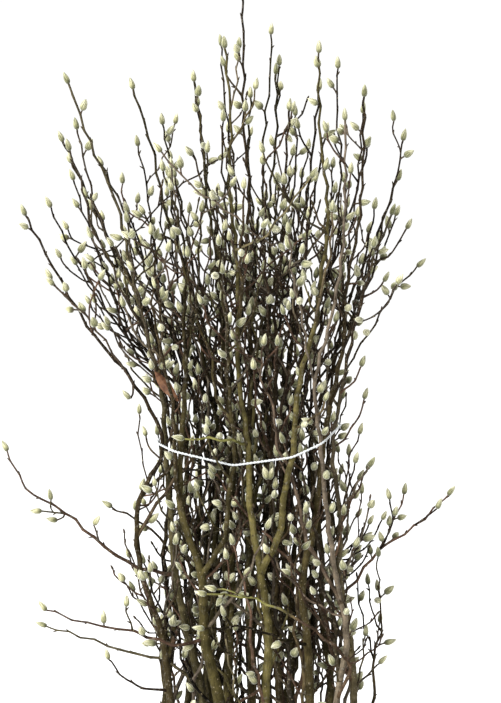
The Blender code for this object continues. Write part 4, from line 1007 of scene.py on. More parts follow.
def putMesh(name, parts, materials, smooth=True):
    # One mesh object from closed surfaces laid end to end.
    offsets = np.cumsum([0] + [len(p["points"]) for p in parts])
    points = np.concatenate([p["points"] for p in parts])
    quads = np.concatenate([p["quads"] + o for p, o in zip(parts, offsets)])
    tris = np.concatenate([p["tris"] + o for p, o in zip(parts, offsets)])
    uv = np.concatenate([np.concatenate([p["quadUv"] for p in parts]).reshape(-1, 2),
                         np.concatenate([p["triUv"] for p in parts]).reshape(-1, 2)])
    slots = np.concatenate([np.concatenate([np.full(len(p["quads"]), p["material"]) for p in parts]),
                            np.concatenate([np.full(len(p["tris"]), p["material"]) for p in parts])])
    mesh = bpy.data.meshes.new(name)
    mesh.vertices.add(len(points))
    mesh.vertices.foreach_set("co", points.ravel())
    mesh.loops.add(quads.size + tris.size)
    mesh.loops.foreach_set("vertex_index", np.concatenate([quads.ravel(), tris.ravel()]).astype(np.int32))
    mesh.polygons.add(len(quads) + len(tris))
    starts = np.concatenate([np.arange(len(quads)) * 4, quads.size + np.arange(len(tris)) * 3])
    mesh.polygons.foreach_set("loop_start", starts.astype(np.int32))
    mesh.polygons.foreach_set("material_index", slots.astype(np.int32))
    mesh.polygons.foreach_set("use_smooth", np.full(len(starts), smooth))
    mesh.update(calc_edges=True)
    mesh.uv_layers.new(name="surface").data.foreach_set("uv", uv.ravel())
    for key in parts[0]["values"]:
        layer = mesh.attributes.new(key, "FLOAT", "POINT")
        layer.data.foreach_set("value", np.concatenate([p["values"][key] for p in parts]))
    for material in materials:
        mesh.materials.append(material)
    piece = bpy.data.objects.new(name, mesh)
    bpy.context.scene.collection.objects.link(piece)
    return piece


# Materials
def newMaterial(name, roughness):
    # A node material, with short ways to add nodes and join them.
    material = bpy.data.materials.new(name)
    material.use_nodes = True
    tree = material.node_tree
    shader = tree.nodes["Principled BSDF"]
    shader.inputs["Roughness"].default_value = roughness
    return material, tree, shader


def addNode(tree, kind, **settings):
    # One node. A setting that names a socket fills it, or joins it where it is another node's socket.
    node = tree.nodes.new(kind)
    for key, value in settings.items():
        if hasattr(node, key) and key not in node.inputs:
            setattr(node, key, value)
            continue
        numbered = key.startswith("in") and key[2:].isdigit()
        socket = node.inputs[int(key[2:]) if numbered else key.replace("_", " ")]
        if isinstance(value, bpy.types.NodeSocket):
            tree.links.new(value, socket)
        else:
            socket.default_value = value
    return node


def maths(tree, operation, first, second):
    # A node that works out one number from one or two others.
    return addNode(tree, "ShaderNodeMath", operation=operation, in0=first, in1=second).outputs[0]


def mapRange(tree, value, **ends):
    # A node that maps value from one range to another in proportion. A range left out is 0 to 1.
    return addNode(tree, "ShaderNodeMapRange", Value=value, **ends).outputs[0]


def mixColour(tree, share, first, second, way="MIX"):
    # The first colour mixed with the second by share. Each of the three is a node's socket or a value.
    node = addNode(tree, "ShaderNodeMix", data_type="RGBA", blend_type=way)
    for socket, value in zip((node.inputs[0], node.inputs[6], node.inputs[7]), (share, first, second)):
        if isinstance(value, bpy.types.NodeSocket):
            tree.links.new(value, socket)
        elif isinstance(value, tuple):
            socket.default_value = (*value, 1)
        else:
            socket.default_value = value
    return node.outputs[2]


def ramp(tree, value, stops):
    # A colour ramp over value. Each stop is (place, colour), where a colour may be one number for grey.
    node = addNode(tree, "ShaderNodeValToRGB", Fac=value)
    elements = node.color_ramp.elements
    while len(elements) < len(stops):
        elements.new(0.5)
    for element, (place, colour) in zip(elements, stops):
        element.position = place
        element.color = (*colour, 1) if isinstance(colour, tuple) else (colour, colour, colour, 1)
    return node.outputs["Color"]


def attribute(tree, name):
    # The number that each point of the mesh carries under that name.
    return addNode(tree, "ShaderNodeAttribute", attribute_name=name).outputs["Fac"]


def surfaceMap(tree):
    # The surface's own map: u runs round, v along, both in metres.
    return addNode(tree, "ShaderNodeUVMap", uv_map="surface").outputs[0]


def surfacePlace(tree, scale):
    # The surface's map times scale, as the place at which a texture is read.
    return addNode(tree, "ShaderNodeMapping", Vector=surfaceMap(tree), Scale=scale).outputs[0]


def noise(tree, place, scale, detail=3.0, roughness=0.55):
    # Cloudy noise between 0 and 1.
    return addNode(tree, "ShaderNodeTexNoise", Vector=place, Scale=scale, Detail=detail,
                   Roughness=roughness).outputs["Fac"]


def bump(tree, shader, height, strength, distance):
    # Relief from height, as deep as distance in metres.
    node = addNode(tree, "ShaderNodeBump", Height=height, Strength=strength, Distance=distance)
    tree.links.new(node.outputs["Normal"], shader.inputs["Normal"])


barkLook = {
    "ages": ((0.0, (0.015, 0.0098, 0.0052)), (0.16, (0.025, 0.0185, 0.0085)), (0.38, (0.058, 0.0460, 0.0175)),
             (0.70, (0.046, 0.0365, 0.0130)), (1.0, (0.032, 0.0258, 0.0090))),
    "reddish": (0.052, 0.0300, 0.0200),
    "greenish": (0.055, 0.0520, 0.0150),
    "fresh": (0.170, 0.165, 0.050),
    "lenticel": (0.22, 0.180, 0.110),
    # pale grey bloom on thin wood: partly real speckles, partly painted highlights
    "bloomAndHighlight": (0.150, 0.135, 0.110),
    "grey": (0.135, 0.110, 0.082),
    "bumpDepth": 0.0006,
}


def makeBark():
    # Bark by its age (how thick the wood is), tinted branch by branch, with painted shade that darkens the
    # middle and back branches, grey film, young yellow-green, patches, streaks along the wood, pale bloom on
    # thin wood that partly stands in as painted highlights, and pale breathing pores that stand out.
    material, tree, shader = newMaterial("bark", 0.62)
    here = addNode(tree, "ShaderNodeTexCoord").outputs["Object"]
    tint = attribute(tree, "tint")
    colour = ramp(tree, attribute(tree, "age"), barkLook["ages"])
    red = mapRange(tree, tint, From_Min=-0.1, From_Max=-1.0, To_Max=0.75)
    green = mapRange(tree, tint, From_Min=0.1, From_Max=1.0, To_Max=0.6)
    colour = mixColour(tree, red, colour, barkLook["reddish"])
    colour = mixColour(tree, green, colour, barkLook["greenish"])
    # tone: each branch's paleness, darker on the middle and back rows as painted shade, varied at random
    # shoot by shoot
    tone = attribute(tree, "tone")
    paler = addNode(tree, "ShaderNodeCombineColor", Red=tone, Green=tone, Blue=tone).outputs[0]
    colour = mixColour(tree, 1.0, colour, paler, "MULTIPLY")
    colour = mixColour(tree, attribute(tree, "grey"), colour, barkLook["grey"])
    colour = mixColour(tree, attribute(tree, "fresh"), colour, barkLook["fresh"])
    patches = ramp(tree, noise(tree, here, 42.0, 5.0, 0.65), ((0.32, 0.35), (0.50, 1.0), (0.70, 2.0)))
    colour = mixColour(tree, 0.9, colour, patches, "MULTIPLY")
    streaks = noise(tree, surfacePlace(tree, (900.0, 60.0, 1.0)), 1.0, 4.0, 0.65)
    colour = mixColour(tree, 0.85, colour, ramp(tree, streaks, ((0.30, 0.45), (0.70, 1.55))), "MULTIPLY")
    young = ramp(tree, attribute(tree, "age"), ((0.0, 0.55), (0.30, 0.50), (0.6, 0.30)))
    # pale patches on thin wood: partly real bloom, partly painted highlights in place of gloss
    bloomAndHighlight = ramp(tree, noise(tree, here, 170.0, 4.0, 0.7), ((0.56, 0.0), (0.66, 1.0)))
    colour = mixColour(tree, maths(tree, "MULTIPLY", bloomAndHighlight, young), colour, barkLook["bloomAndHighlight"])
    cells = addNode(tree, "ShaderNodeTexVoronoi", Vector=surfacePlace(tree, (170.0, 120.0, 1.0)), Scale=1.0,
                    Randomness=0.95).outputs["Distance"]
    dots = mapRange(tree, cells, From_Min=0.10, From_Max=0.19, To_Min=1.0, To_Max=0.0)
    colour = mixColour(tree, maths(tree, "MULTIPLY", dots, 0.8), colour, barkLook["lenticel"])
    tree.links.new(colour, shader.inputs["Base Color"])
    bump(tree, shader, maths(tree, "ADD", streaks, dots), 0.6, barkLook["bumpDepth"])
    shader.inputs["Specular IOR Level"].default_value = 0.03
    return material


budLook = {
    "fur": (0.345, 0.335, 0.188),
    "tip": (0.66, 0.635, 0.46),
    # painted shade: a dark band just above the base scale; the dark stripes use this colour too
    "shade": (0.070, 0.072, 0.028),
    "scale": (0.034, 0.022, 0.010),
    "seam": (0.66, 0.65, 0.50),
    # painted shade on two sides of each bud
    "flank": (0.098, 0.097, 0.038),
    "tones": ((0.0, (0.50, 0.52, 0.40)), (0.5, 1.0), (1.0, (1.40, 1.37, 1.34))),   # darkest to palest bud
    "hair": (0.60, 0.59, 0.46),
    "hairs": 26,              # a bud
    "hairLength": (0.0018, 0.0034),
    "hairRadius": 0.00011,
    "sides": 8,
    "rings": (0.02, 0.12, 0.27, 0.44, 0.62, 0.79, 0.93),
}


def makeFur():
    # Bud fur from its dark scale at the base, through a band of painted shade, to its pale tip, with painted
    # shade on two flanks, fine strands and dark stripes along it in the shade colour, a tone for each bud,
    # and a pale seam on the riper ones.
    material, tree, shader = newMaterial("budFur", 0.85)
    along, tone = attribute(tree, "along"), attribute(tree, "tone")
    colour = ramp(tree, along, tuple(zip((0.0, 0.14, 0.42, 1.0),
                                         (budLook[name] for name in ("scale", "shade", "fur", "tip")))))
    colour = mixColour(tree, attribute(tree, "flank"), colour, budLook["flank"])
    strands = noise(tree, surfacePlace(tree, (3200.0, 260.0, 1.0)), 1.0, 3.0, 0.6)
    colour = mixColour(tree, 0.8, colour, ramp(tree, strands, ((0.28, 0.62), (0.72, 1.28))), "MULTIPLY")
    stripes = noise(tree, surfacePlace(tree, (420.0, 75.0, 1.0)), 1.0, 3.0, 0.6)
    colour = mixColour(tree, ramp(tree, stripes, ((0.44, 0.0), (0.60, 0.9))), colour, budLook["shade"])
    colour = mixColour(tree, 0.9, colour, ramp(tree, tone, budLook["tones"]), "MULTIPLY")
    seam = ramp(tree, attribute(tree, "seam"), ((0.0, 0.0), (0.80, 0.0), (1.0, 0.85)))
    colour = mixColour(tree, seam, colour, budLook["seam"])
    tree.links.new(colour, shader.inputs["Base Color"])
    bump(tree, shader, strands, 0.7, 0.0005)
    shader.inputs["Sheen Weight"].default_value = 0.9
    shader.inputs["Sheen Roughness"].default_value = 0.45
    shader.inputs["Sheen Tint"].default_value = (0.92, 0.92, 0.80, 1)
    shader.inputs["Specular IOR Level"].default_value = 0.2
    return material


def makeHair():
    # The buds' hairs, greener on the less ripe buds.
    material, tree, shader = newMaterial("budHair", 0.7)
    colour = ramp(tree, attribute(tree, "tone"), ((0.0, (0.52, 0.53, 0.42)), (1.0, budLook["hair"])))
    tree.links.new(colour, shader.inputs["Base Color"])
    shader.inputs["Sheen Weight"].default_value = 0.3
    shader.inputs["Specular IOR Level"].default_value = 0.2
    return material


sawnLook = {"pale": (0.62, 0.50, 0.31), "dark": (0.42, 0.30, 0.16), "ringEvery": 0.0016}


def makeSawnWood():
    # Growth rings: a sine of the distance from the middle, which the map's v gives, with fine speckles.
    material, tree, shader = newMaterial("sawnWood", 0.8)
    distance = addNode(tree, "ShaderNodeSeparateXYZ", Vector=surfaceMap(tree)).outputs[1]
    wave = maths(tree, "SINE", maths(tree, "MULTIPLY", distance, 6.283 / sawnLook["ringEvery"]), 0.0)
    share = mapRange(tree, wave, From_Min=-1.0, From_Max=1.0)
    colour = mixColour(tree, share, sawnLook["dark"], sawnLook["pale"])
    speckle = noise(tree, addNode(tree, "ShaderNodeTexCoord").outputs["Object"], 600.0, 2.0)
    colour = mixColour(tree, 0.4, colour, ramp(tree, speckle, ((0.3, 0.7), (0.7, 1.2))), "MULTIPLY")
    tree.links.new(colour, shader.inputs["Base Color"])
    return material


stringLook = {"colour": (0.60, 0.62, 0.62), "shade": (0.28, 0.30, 0.31)}


def makeStringWhite():
    # White string with fine fibres along each strand.
    material, tree, shader = newMaterial("whiteString", 0.8)
    fibres = noise(tree, surfacePlace(tree, (2600.0, 500.0, 1.0)), 1.0, 3.0, 0.6)
    share = ramp(tree, fibres, ((0.3, 0.0), (0.62, 1.0)))
    colour = mixColour(tree, share, stringLook["shade"], stringLook["colour"])
    tree.links.new(colour, shader.inputs["Base Color"])
    bump(tree, shader, fibres, 0.6, 0.0003)
    shader.inputs["Sheen Weight"].default_value = 0.25
    return material


leafLook = {
    "blade": (0.046, 0.0175, 0.0075),
    "pale": (0.130, 0.060, 0.027),
    "vein": (0.12, 0.060, 0.032),
    "veins": 9,               # on each side of the midrib
}


def makeDryLeaf():
    # Dry brown leaf with paler patches and veins, and wrinkles that the veins stand out from.
    material, tree, shader = newMaterial("dryLeaf", 0.6)
    here = addNode(tree, "ShaderNodeTexCoord").outputs["Object"]
    patches = ramp(tree, noise(tree, here, 120.0, 5.0, 0.65), ((0.35, 0.0), (0.68, 1.0)))
    colour = mixColour(tree, patches, leafLook["blade"], leafLook["pale"])
    veins = ramp(tree, attribute(tree, "vein"), ((0.0, 0.0), (0.72, 0.0), (0.95, 0.8)))
    colour = mixColour(tree, veins, colour, leafLook["vein"])
    tree.links.new(colour, shader.inputs["Base Color"])
    wrinkle = noise(tree, here, 420.0, 4.0, 0.7)
    bump(tree, shader, maths(tree, "ADD", wrinkle, veins), 0.6, 0.0004)
    shader.inputs["Specular IOR Level"].default_value = 0.2
    return material


def woodTube(path, number, draw):
    # A round tube along the fine line: each ring's radius is the wood's, swelled at the joints and at the
    # collar where it leaves its parent, with shallow ridges that wander round it. Its colour is its branch's,
    # with painted shade that darkens the branches of the middle and back rows, varied shoot by shoot: some
    # thin ones are red-brown, and a few are grey.
    line, radii, along = (path["fine"][key] for key in ("line", "radii", "along"))
    if path["kind"] != "stem":
        past = np.maximum(0, along - radii[0] * 0.8)
        radii = radii * (1 + woodLook["collar"] * np.exp(-past / (radii[0] * 1.3)))
    sides = woodLook["sides"][path["kind"]]
    tangent = np.gradient(line, axis=0)
    if path["kind"] == "stem":
        tangent[:2] = (0, 0, 1)
    tangent = unitRows(tangent)
    side, other = squareFrame(tangent)
    angle = np.arange(sides) / sides * 2 * math.pi
    phase = draw.uniform(0, 6)
    ridges = 1 + woodLook["ridge"] * (np.sin(3 * angle[None] + phase + along[:, None] * 14)
                                      + 0.6 * np.sin(5 * angle[None] - phase - along[:, None] * 23))
    rings = line[:, None] + ringsAround(side, other, sides) * (radii[:, None] * ridges)[..., None]
    age = np.clip((radii - 0.0016) / woodLook["thickest"], 0, 1)
    tint = np.clip(branchTints[number] + draw.uniform(-0.35, 0.35), -1, 1)
    thin = path["kind"] not in ("stem", "fork")
    # the branch's tone carries painted shade on the middle and back rows
    tone = branchTonesAndShade[number] * draw.uniform(*woodLook["thinTones" if thin else "thickTones"])
    grey = woodLook["mostGrey"] * draw.random() ** 4 if thin else branchGreys.get(number, 0.0)
    if thin and draw.random() < woodLook["redShare"]:
        tint, tone, grey = -1.0, draw.uniform(*woodLook["redTones"]), 0.0
    one = np.ones((1, len(along)))
    fresh = np.interp(along / along[-1], path["fresh"], (0.0, 0.85)) if "fresh" in path else 0 * along
    values = {"age": age[None], "tint": one * tint, "tone": one * tone, "grey": one * grey,
              "fresh": fresh[None]}
    around = np.array([2 * math.pi * radii.mean()])
    tube = closedGrids(rings[None], line[:1], line[-1:] + tangent[-1] * 0.0012, along[None], around, values)
    if path["kind"] == "stem":
        tube["sawnFan"] = sides
    return tube


def sawnEnd(tube):
    # The fan at a stem's foot, split off as a face of its own, with the distance from its middle as its
    # map's v.
    sides = tube.pop("sawnFan")
    rim = tube["points"][:sides]
    middle = tube["points"][-2]
    order = np.arange(sides)
    disc = {"points": np.concatenate([rim, middle[None]]), "quads": np.zeros((0, 4), int),
            "tris": np.stack([np.full(sides, sides), (order + 1) % sides, order], axis=1),
            "quadUv": np.zeros((0, 4, 2)), "material": 1,
            "values": {name: value[:sides + 1] for name, value in tube["values"].items()}}
    reach = np.linalg.norm(rim - middle, axis=1).mean()
    disc["triUv"] = np.tile(np.array([[[0.0, 0.0], [1.0, reach], [0.0, reach]]]), (sides, 1, 1))
    return disc


def taperedGrids(starts, directions, lengths, profile, sides, values, around):
    # n straight shoots at once: ring i of each stands at profile[i][0] of its length, with radius
    # profile[i][1] (an array of n), and the last point closes it.
    ring = ringsAround(*squareFrame(directions), sides)
    rings = np.stack([starts[:, None] + directions[:, None] * (lengths * share)[:, None, None]
                      + ring * radius[:, None, None] for share, radius in profile], axis=1)
    along = np.stack([lengths * share for share, _ in profile], axis=1)
    return closedGrids(rings, starts, starts + directions * lengths[:, None], along, around,
                       {name: np.repeat(v[:, None], len(profile), axis=1) for name, v in values.items()})


def budRing(buds, share, angle):
    # A point on each bud's surface: almond shaped, widest below the middle, pointed, a little lopsided, and
    # with the tip bent to one side. share runs from base to tip, and angle round it.
    girth = 2.30 * share ** 0.50 * (1 - share) ** 0.84 + 0.24 * (1 - share) ** 4
    lopsided = 1 + 0.09 * np.cos(angle - buds["phase"]) + 0.05 * np.cos(2 * angle + buds["phase"])
    radius = buds["radius"] * girth * lopsided
    bend = buds["bend"] * buds["length"] * share ** 2
    return (buds["neck"] + buds["out"] * (buds["length"] * share)[..., None]
            + buds["side"] * (radius * np.cos(angle) + bend)[..., None]
            + buds["other"] * (radius * np.sin(angle))[..., None])


def spreadBuds(buds, extra):
    # The same arrays with extra axes of length 1 after the first.
    return {name: value.reshape(value.shape[0], *([1] * extra), *value.shape[1:])
            for name, value in buds.items()}


def flowerBuds(buds):
    # All buds of a branch as closed grids. The seam is one meridian of the riper buds, and the flank shade is
    # painted shade on two broad sides, darker the less ripe the bud is.
    n, sides = len(buds["neck"]), budLook["sides"]
    share = np.array(budLook["rings"])[None, :, None]
    angle = (np.arange(sides) / sides * 2 * math.pi)[None, None, :]
    wide = spreadBuds(buds, 2)
    rings = budRing(wide, share + np.zeros((n, 1, sides)), angle + np.zeros((n, len(budLook["rings"]), 1)))
    tip = budRing(buds, np.full(n, 0.999), np.zeros(n))
    along = np.array(budLook["rings"])[None] * np.ones((n, 1))
    values = {"along": along, "tone": buds["tone"][:, None] + 0 * along, "seam": 0 * along,
              "flank": 0 * along}
    grids = closedGrids(rings, buds["neck"] - buds["out"] * 0.0006, tip, along * buds["length"][:, None],
                        2 * math.pi * buds["radius"], values)
    ripe = buds["tone"][:, None, None] > 0.45
    seamSide = np.cos(angle[0, 0] - 1.0)[None, None] ** 8 * (share > 0.2) * ripe
    seam = np.concatenate([(seamSide + np.zeros((n, 1, 1))).reshape(n, -1), np.zeros((n, 2))], axis=1)
    grids["values"]["seam"] = seam.ravel()
    # painted shade on two broad sides of each bud, deepest halfway along it
    flank = np.clip(np.cos(angle[0, 0] * 2 + 0.6), 0, 1)[None, None] ** 2 * np.sin(math.pi * share) * 0.75
    flank = flank * (1.25 - buds["tone"][:, None, None])
    grids["values"]["flank"] = np.concatenate([flank.reshape(n, -1), np.zeros((n, 2))], axis=1).ravel()
    return grids


def budHairs(buds, draw):
    # Fine hairs: slender three-sided spikes that leave each bud's surface, pressed forwards.
    n, count = len(buds["neck"]), budLook["hairs"]
    rand = np.random.default_rng(draw.randrange(10 ** 6))
    order = np.arange(count)
    share = 0.10 + 0.88 * ((order + 0.5) / count)[None] + rand.uniform(-0.02, 0.02, (n, count))
    share = np.clip(share, 0.05, 0.985)
    angle = goldenAngle * order[None] + rand.uniform(0, 6.283, (n, 1))
    wide = spreadBuds(buds, 1)
    root = budRing(wide, share, angle)
    outward = wide["side"] * np.cos(angle)[..., None] + wide["other"] * np.sin(angle)[..., None]
    lean = (0.55 + 0.35 * share)[..., None]
    direction = wide["out"] * lean + outward * (1.05 - lean) + rand.normal(0, 0.12, (n, count, 3))
    direction = unitRows(direction).reshape(-1, 3)
    lengths = rand.uniform(*budLook["hairLength"], n * count)
    radius = np.full(n * count, budLook["hairRadius"])
    starts = root.reshape(-1, 3) - direction * 0.0004
    none = np.zeros(n * count)
    values = {"along": none + 1, "tone": np.repeat(buds["tone"], count), "seam": none, "flank": none}
    hairs = taperedGrids(starts, direction, lengths, ((0.0, radius),), 3, values, radius)
    hairs["material"] = 1
    return hairs


def budArrays(found, draw):
    # One array for each measure of a branch's flower buds.
    measures = {name: np.array([b[name] for b in found]) for name in ("neck", "out", "length", "radius")}
    side, other = squareFrame(measures["out"])
    turn = np.array([draw.uniform(0, 6.28) for _ in found])[:, None]
    side, other = side * np.cos(turn) + other * np.sin(turn), other * np.cos(turn) - side * np.sin(turn)
    return {**measures, "side": side, "other": other,
            "phase": np.array([draw.uniform(0, 6.28) for _ in found]),
            "bend": np.array([draw.uniform(-0.06, 0.06) for _ in found]),
            "tone": np.array([min(1.0, max(0.0, draw.gauss(0.5, 0.22))) for _ in found])}


def shortShoots(found, stalk, branchTint, draw):
    # The stalks of flower buds, which widen under the bud, or else leaf buds, which close to a point.
    starts, out = (np.array([b[name] for b in found]) for name in ("root", "out"))
    tint = np.clip(np.array([branchTint + draw.uniform(-0.6, 0.1) for _ in found]), -1, 1)
    if stalk:
        lengths = np.array([np.linalg.norm(b["neck"] - b["root"]) for b in found]) + 0.0012
        thick = np.full(len(found), fineGrowth["stalkRadius"])
        profile = ((0.0, thick * 1.5), (0.5, thick), (0.86, thick * 1.25), (0.97, thick * 1.5))
    else:
        lengths, thick = (np.array([b[name] for b in found]) for name in ("length", "radius"))
        profile = ((0.0, thick * 1.2), (0.4, thick * 1.15), (0.7, thick * 0.9), (0.9, thick * 0.4))
    none = np.zeros(len(found))
    values = {"age": none + 0.12, "tint": tint, "tone": none + 0.9, "grey": none + 0.1, "fresh": none}
    return taperedGrids(starts, out, lengths, profile, 5, values, 2 * math.pi * thick)


def makeBranches(grown, flowers, leafBuds, materials):
    # Each branch's wood is one piece, and its furry buds another.
    bark, sawn, fur, hair = materials
    for number in range(len(branches)):
        draw = random.Random(woodLook["seed"] + number)
        stalks = [f for f in flowers if f["branch"] == number]
        smalls = [b for b in leafBuds if b["branch"] == number]
        parts, ends = [], list(stalks)
        for path in grown:
            if path["branch"] != number:
                continue
            tube = woodTube(path, number, draw)
            if "sawnFan" in tube:
                disc = sawnEnd(tube)
                lowFan = woodLook["sides"]["stem"]
                tube["tris"], tube["triUv"] = tube["tris"][lowFan:], tube["triUv"][lowFan:]
                parts.append(disc)
            parts.append(tube)
            neck = path["points"][path["wood"] - 1]
            reach = path["points"][-1] - neck
            if np.linalg.norm(reach) < fineGrowth["shortestBud"]:
                length, radius = fineGrowth["endBud"]
                smalls.append({"root": neck, "out": unit(reach), "length": length, "radius": radius})
                continue
            ends.append({"neck": neck, "out": unit(reach), "length": np.linalg.norm(reach),
                         "radius": path["radii"][path["wood"]:].max() * 1.06})
        for found, stalk in ((stalks, True), (smalls, False)):
            parts.append(shortShoots(found, stalk, branchTints[number], draw))
        node = f"branch_{number + 1:02d}"
        wood = putMesh(f"{node}_wood", parts, [bark, sawn])
        buds = budArrays(ends, draw)
        furry = putMesh(f"{node}_buds", [flowerBuds(buds), budHairs(buds, draw)], [fur, hair])
        for piece in (wood, furry):
            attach(piece, "root")
            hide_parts(node)


def ringTube(line, radius, sides):
    # A tube round a closed line, closed on itself.
    n = len(line)
    tangent = unitRows(np.roll(line, -1, axis=0) - np.roll(line, 1, axis=0))
    side = unitRows(np.cross(tangent, (0.0, 0.0, 1.0)) + np.cross(tangent, (0.02, 0.01, 0.0)))
    rings = line[:, None] + radius * ringsAround(side, np.cross(tangent, side), sides)
    i, j = (a.ravel() for a in np.meshgrid(np.arange(n), np.arange(sides), indexing="ij"))
    up, onward = (i + 1) % n, (j + 1) % sides
    along = distances(line)
    u = np.stack([j, j + 1, j + 1, j], axis=1) / sides * 2 * math.pi * radius
    v = along[i][:, None] + np.array((0.0, 0.0, 1.0, 1.0)) * stringTie["step"]
    quads = np.stack([i * sides + j, i * sides + onward, up * sides + onward, up * sides + j], axis=1)
    return {"points": rings.reshape(-1, 3), "quads": quads, "tris": np.zeros((0, 3), int),
            "quadUv": np.stack([u, v], axis=-1), "triUv": np.zeros((0, 3, 2)), "values": {}, "material": 0}


def openTube(line, radii, sides):
    # A tube along an open line, closed by a fan at each end.
    rings = ringsAround(*squareFrame(unitRows(np.gradient(line, axis=0))), sides)
    rings = line[:, None] + radii[:, None, None] * rings
    around = np.array([2 * math.pi * radii.mean()])
    return closedGrids(rings[None], line[:1], line[-1:], distances(line)[None], around, {})


def makeString(corners, material):
    # Two strands twisted round each other along the loop, an overhand knot, and two ends that fray at the
    # tip. The knot is the trefoil (sin t + 2 sin 2t, cos t - 2 cos 2t, -sin 3t).
    loop = np.vstack([corners, corners[:1]])
    along = distances(loop)
    turns = round(along[-1] / stringTie["twist"])
    s = np.arange(0, along[-1], stringTie["step"])
    line = placesAt(s, along, loop)
    for _ in range(stringTie["smoothPasses"]):
        line = (np.roll(line, 1, axis=0) + 2 * line + np.roll(line, -1, axis=0)) / 4
    tangent = unitRows(np.roll(line, -1, axis=0) - np.roll(line, 1, axis=0))
    side = unitRows(np.cross(tangent, (0.0, 0.0, 1.0)))
    other = np.cross(tangent, side)
    parts = []
    for strand in (0, 1):
        turn = 2 * math.pi * (turns * s / along[-1] + strand / 2)
        offset = stringTie["strandOffset"]
        middle = line + side * (offset * np.cos(turn))[:, None] + other * (offset * np.sin(turn))[:, None]
        parts.append(ringTube(middle, stringTie["strandRadius"], stringTie["strandSides"]))
    (lump, _), *ends = knotAndEnds(corners)
    middle, across = lump[2], unit(lump[-1] - lump[0])
    out = unit(np.cross(across, (0.0, 0.0, 1.0)))
    out = out if out[1] > 0 else -out
    t = np.linspace(0, 2 * math.pi, stringTie["knotRings"], endpoint=False)[:, None]
    trefoil = (across * (np.sin(t) + 2 * np.sin(2 * t)) + np.array((0, 0, 1.0))
               * (np.cos(t) - 2 * np.cos(2 * t)) * 0.8 + out * (-np.sin(3 * t)) * 1.1) * stringTie["knotSize"]
    parts.append(ringTube(middle + trefoil, stringTie["knotThick"], 8))
    endRings = stringTie["endRings"]
    endRadii = np.interp(np.arange(endRings), (0, endRings - 4, endRings - 1), stringTie["endRadii"])
    for points, _ in ends:
        parts.append(openTube(flowing(points, endRings), endRadii, 8))
        tip, tail = points[-1], unit(points[-1] - points[-2])
        for n in range(stringTie["fibres"]):
            spread = sideOf(tail, n * goldenAngle) * 0.0013
            fibre = np.array([tip - tail * 0.003 + spread * 0.6, tip + tail * 0.002 + spread * 1.2,
                              tip + tail * 0.005 + spread * 2.2])
            parts.append(openTube(fibre, np.array(stringTie["fibreRadii"]), 5))
    piece = putMesh("string_tie_twisted", parts, [material])
    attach(piece, "root")
    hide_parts("string_tie")


leafShape = {
    "rows": 30,
    "around": 20,
    "thickness": 0.00035,
    "ribHeight": 0.0007,
    "ribWidth": 0.0012,
    "curl": 0.0030,
    "arch": 0.006,
    "ripple": 0.0012,
    "stalk": 0.08,            # share of the leaf's length
    "faces": (-0.15, 1.0, -0.25),
}


def makeLeaf(grown, material):
    # A lance-shaped blade: the half width is a sine hump from stalk to tip, its two halves curl forwards with
    # the square of the distance from the midrib, its edge ripples, and each cross-section is a thin closed
    # lens.
    base, reach = leafBase(grown), np.array(dryLeaf["hangsTo"])
    line, length = unit(reach), np.linalg.norm(reach)
    across = unit(np.cross(line, leafShape["faces"]))
    normal = np.cross(across, line)
    t = np.linspace(0.004, 0.996, leafShape["rows"])[:, None]
    angle = (np.arange(leafShape["around"]) / leafShape["around"] * 2 * math.pi)[None]
    blade = np.clip((t - leafShape["stalk"]) / (1 - leafShape["stalk"]), 0, 1)
    half = dryLeaf["stalkRadius"] + dryLeaf["halfWidth"] * np.sin(math.pi * blade ** 0.9) ** 0.85
    w = np.cos(angle) * half
    rib = leafShape["ribHeight"] * np.exp(-(w / leafShape["ribWidth"]) ** 2) * (1 - 0.7 * t)
    thick = leafShape["thickness"] * (0.35 + 0.65 * np.abs(np.sin(angle))) + rib
    curl = leafShape["curl"] * (w / dryLeaf["halfWidth"]) ** 2 * (1 + 0.5 * np.sin(5 * t))
    ripple = leafShape["ripple"] * np.sin(38 * t + 2 * np.sign(w)) * (w / dryLeaf["halfWidth"]) ** 2
    height = leafShape["arch"] * np.sin(math.pi * t) + curl + ripple + np.sin(angle) * thick
    rings = (base + line * (length * t)[..., None] + across * w[..., None] + normal * height[..., None])
    ends = [base + line * length * e + normal * leafShape["arch"] * math.sin(math.pi * e) for e in (0.0, 1.0)]
    # The normal is across x line, so the angle runs the other way round the line: the rings are turned over.
    rings = rings[:, ::-1]
    leaf = closedGrids(rings[None], ends[0][None], ends[1][None], (t[:, 0] * length)[None],
                       np.array([dryLeaf["halfWidth"] * 4]), {})
    sideVein = np.abs(np.sin(math.pi * leafLook["veins"] * (t - np.abs(w) / length * 1.1)))
    midrib = np.exp(-(w / 0.0007) ** 2)
    vein = np.maximum(midrib, 1 - np.clip(sideVein / 0.5, 0, 1)) * (blade > 0)
    leaf["values"] = {"vein": np.append(vein[:, ::-1].ravel(), [0.0, 0.0])}
    piece = putMesh("dead_leaf_blade", [leaf], [material])
    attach(piece, "root")
    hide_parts("dead_leaf")


view = {"place": (0.0, -3.7, 1.423), "lookDown": 9.0, "lens": 110.0}


def makeView():
    # The camera stands before the bundle, a little above the string, and looks slightly down.
    data = bpy.data.cameras.new("viewCamera")
    data.lens = view["lens"]
    data.clip_end = 60
    camera = bpy.data.objects.new("viewCamera", data)
    camera.location = view["place"]
    camera.rotation_euler = (math.radians(90 - view["lookDown"]), 0, 0)
    bpy.context.scene.collection.objects.link(camera)
    bpy.context.scene.camera = camera


studio = {
    "world": 1.06,
    "lights": (                # name, power, size, place, height that it points at
        ("key", 300.0, 1.2, (-2.6, -2.2, 2.7), 0.9),
        ("fill", 12.0, 2.0, (2.4, -1.8, 1.4), 0.8),
    ),
    "floorSize": 14.0,
    "floorColour": (0.95, 0.95, 0.95),
}


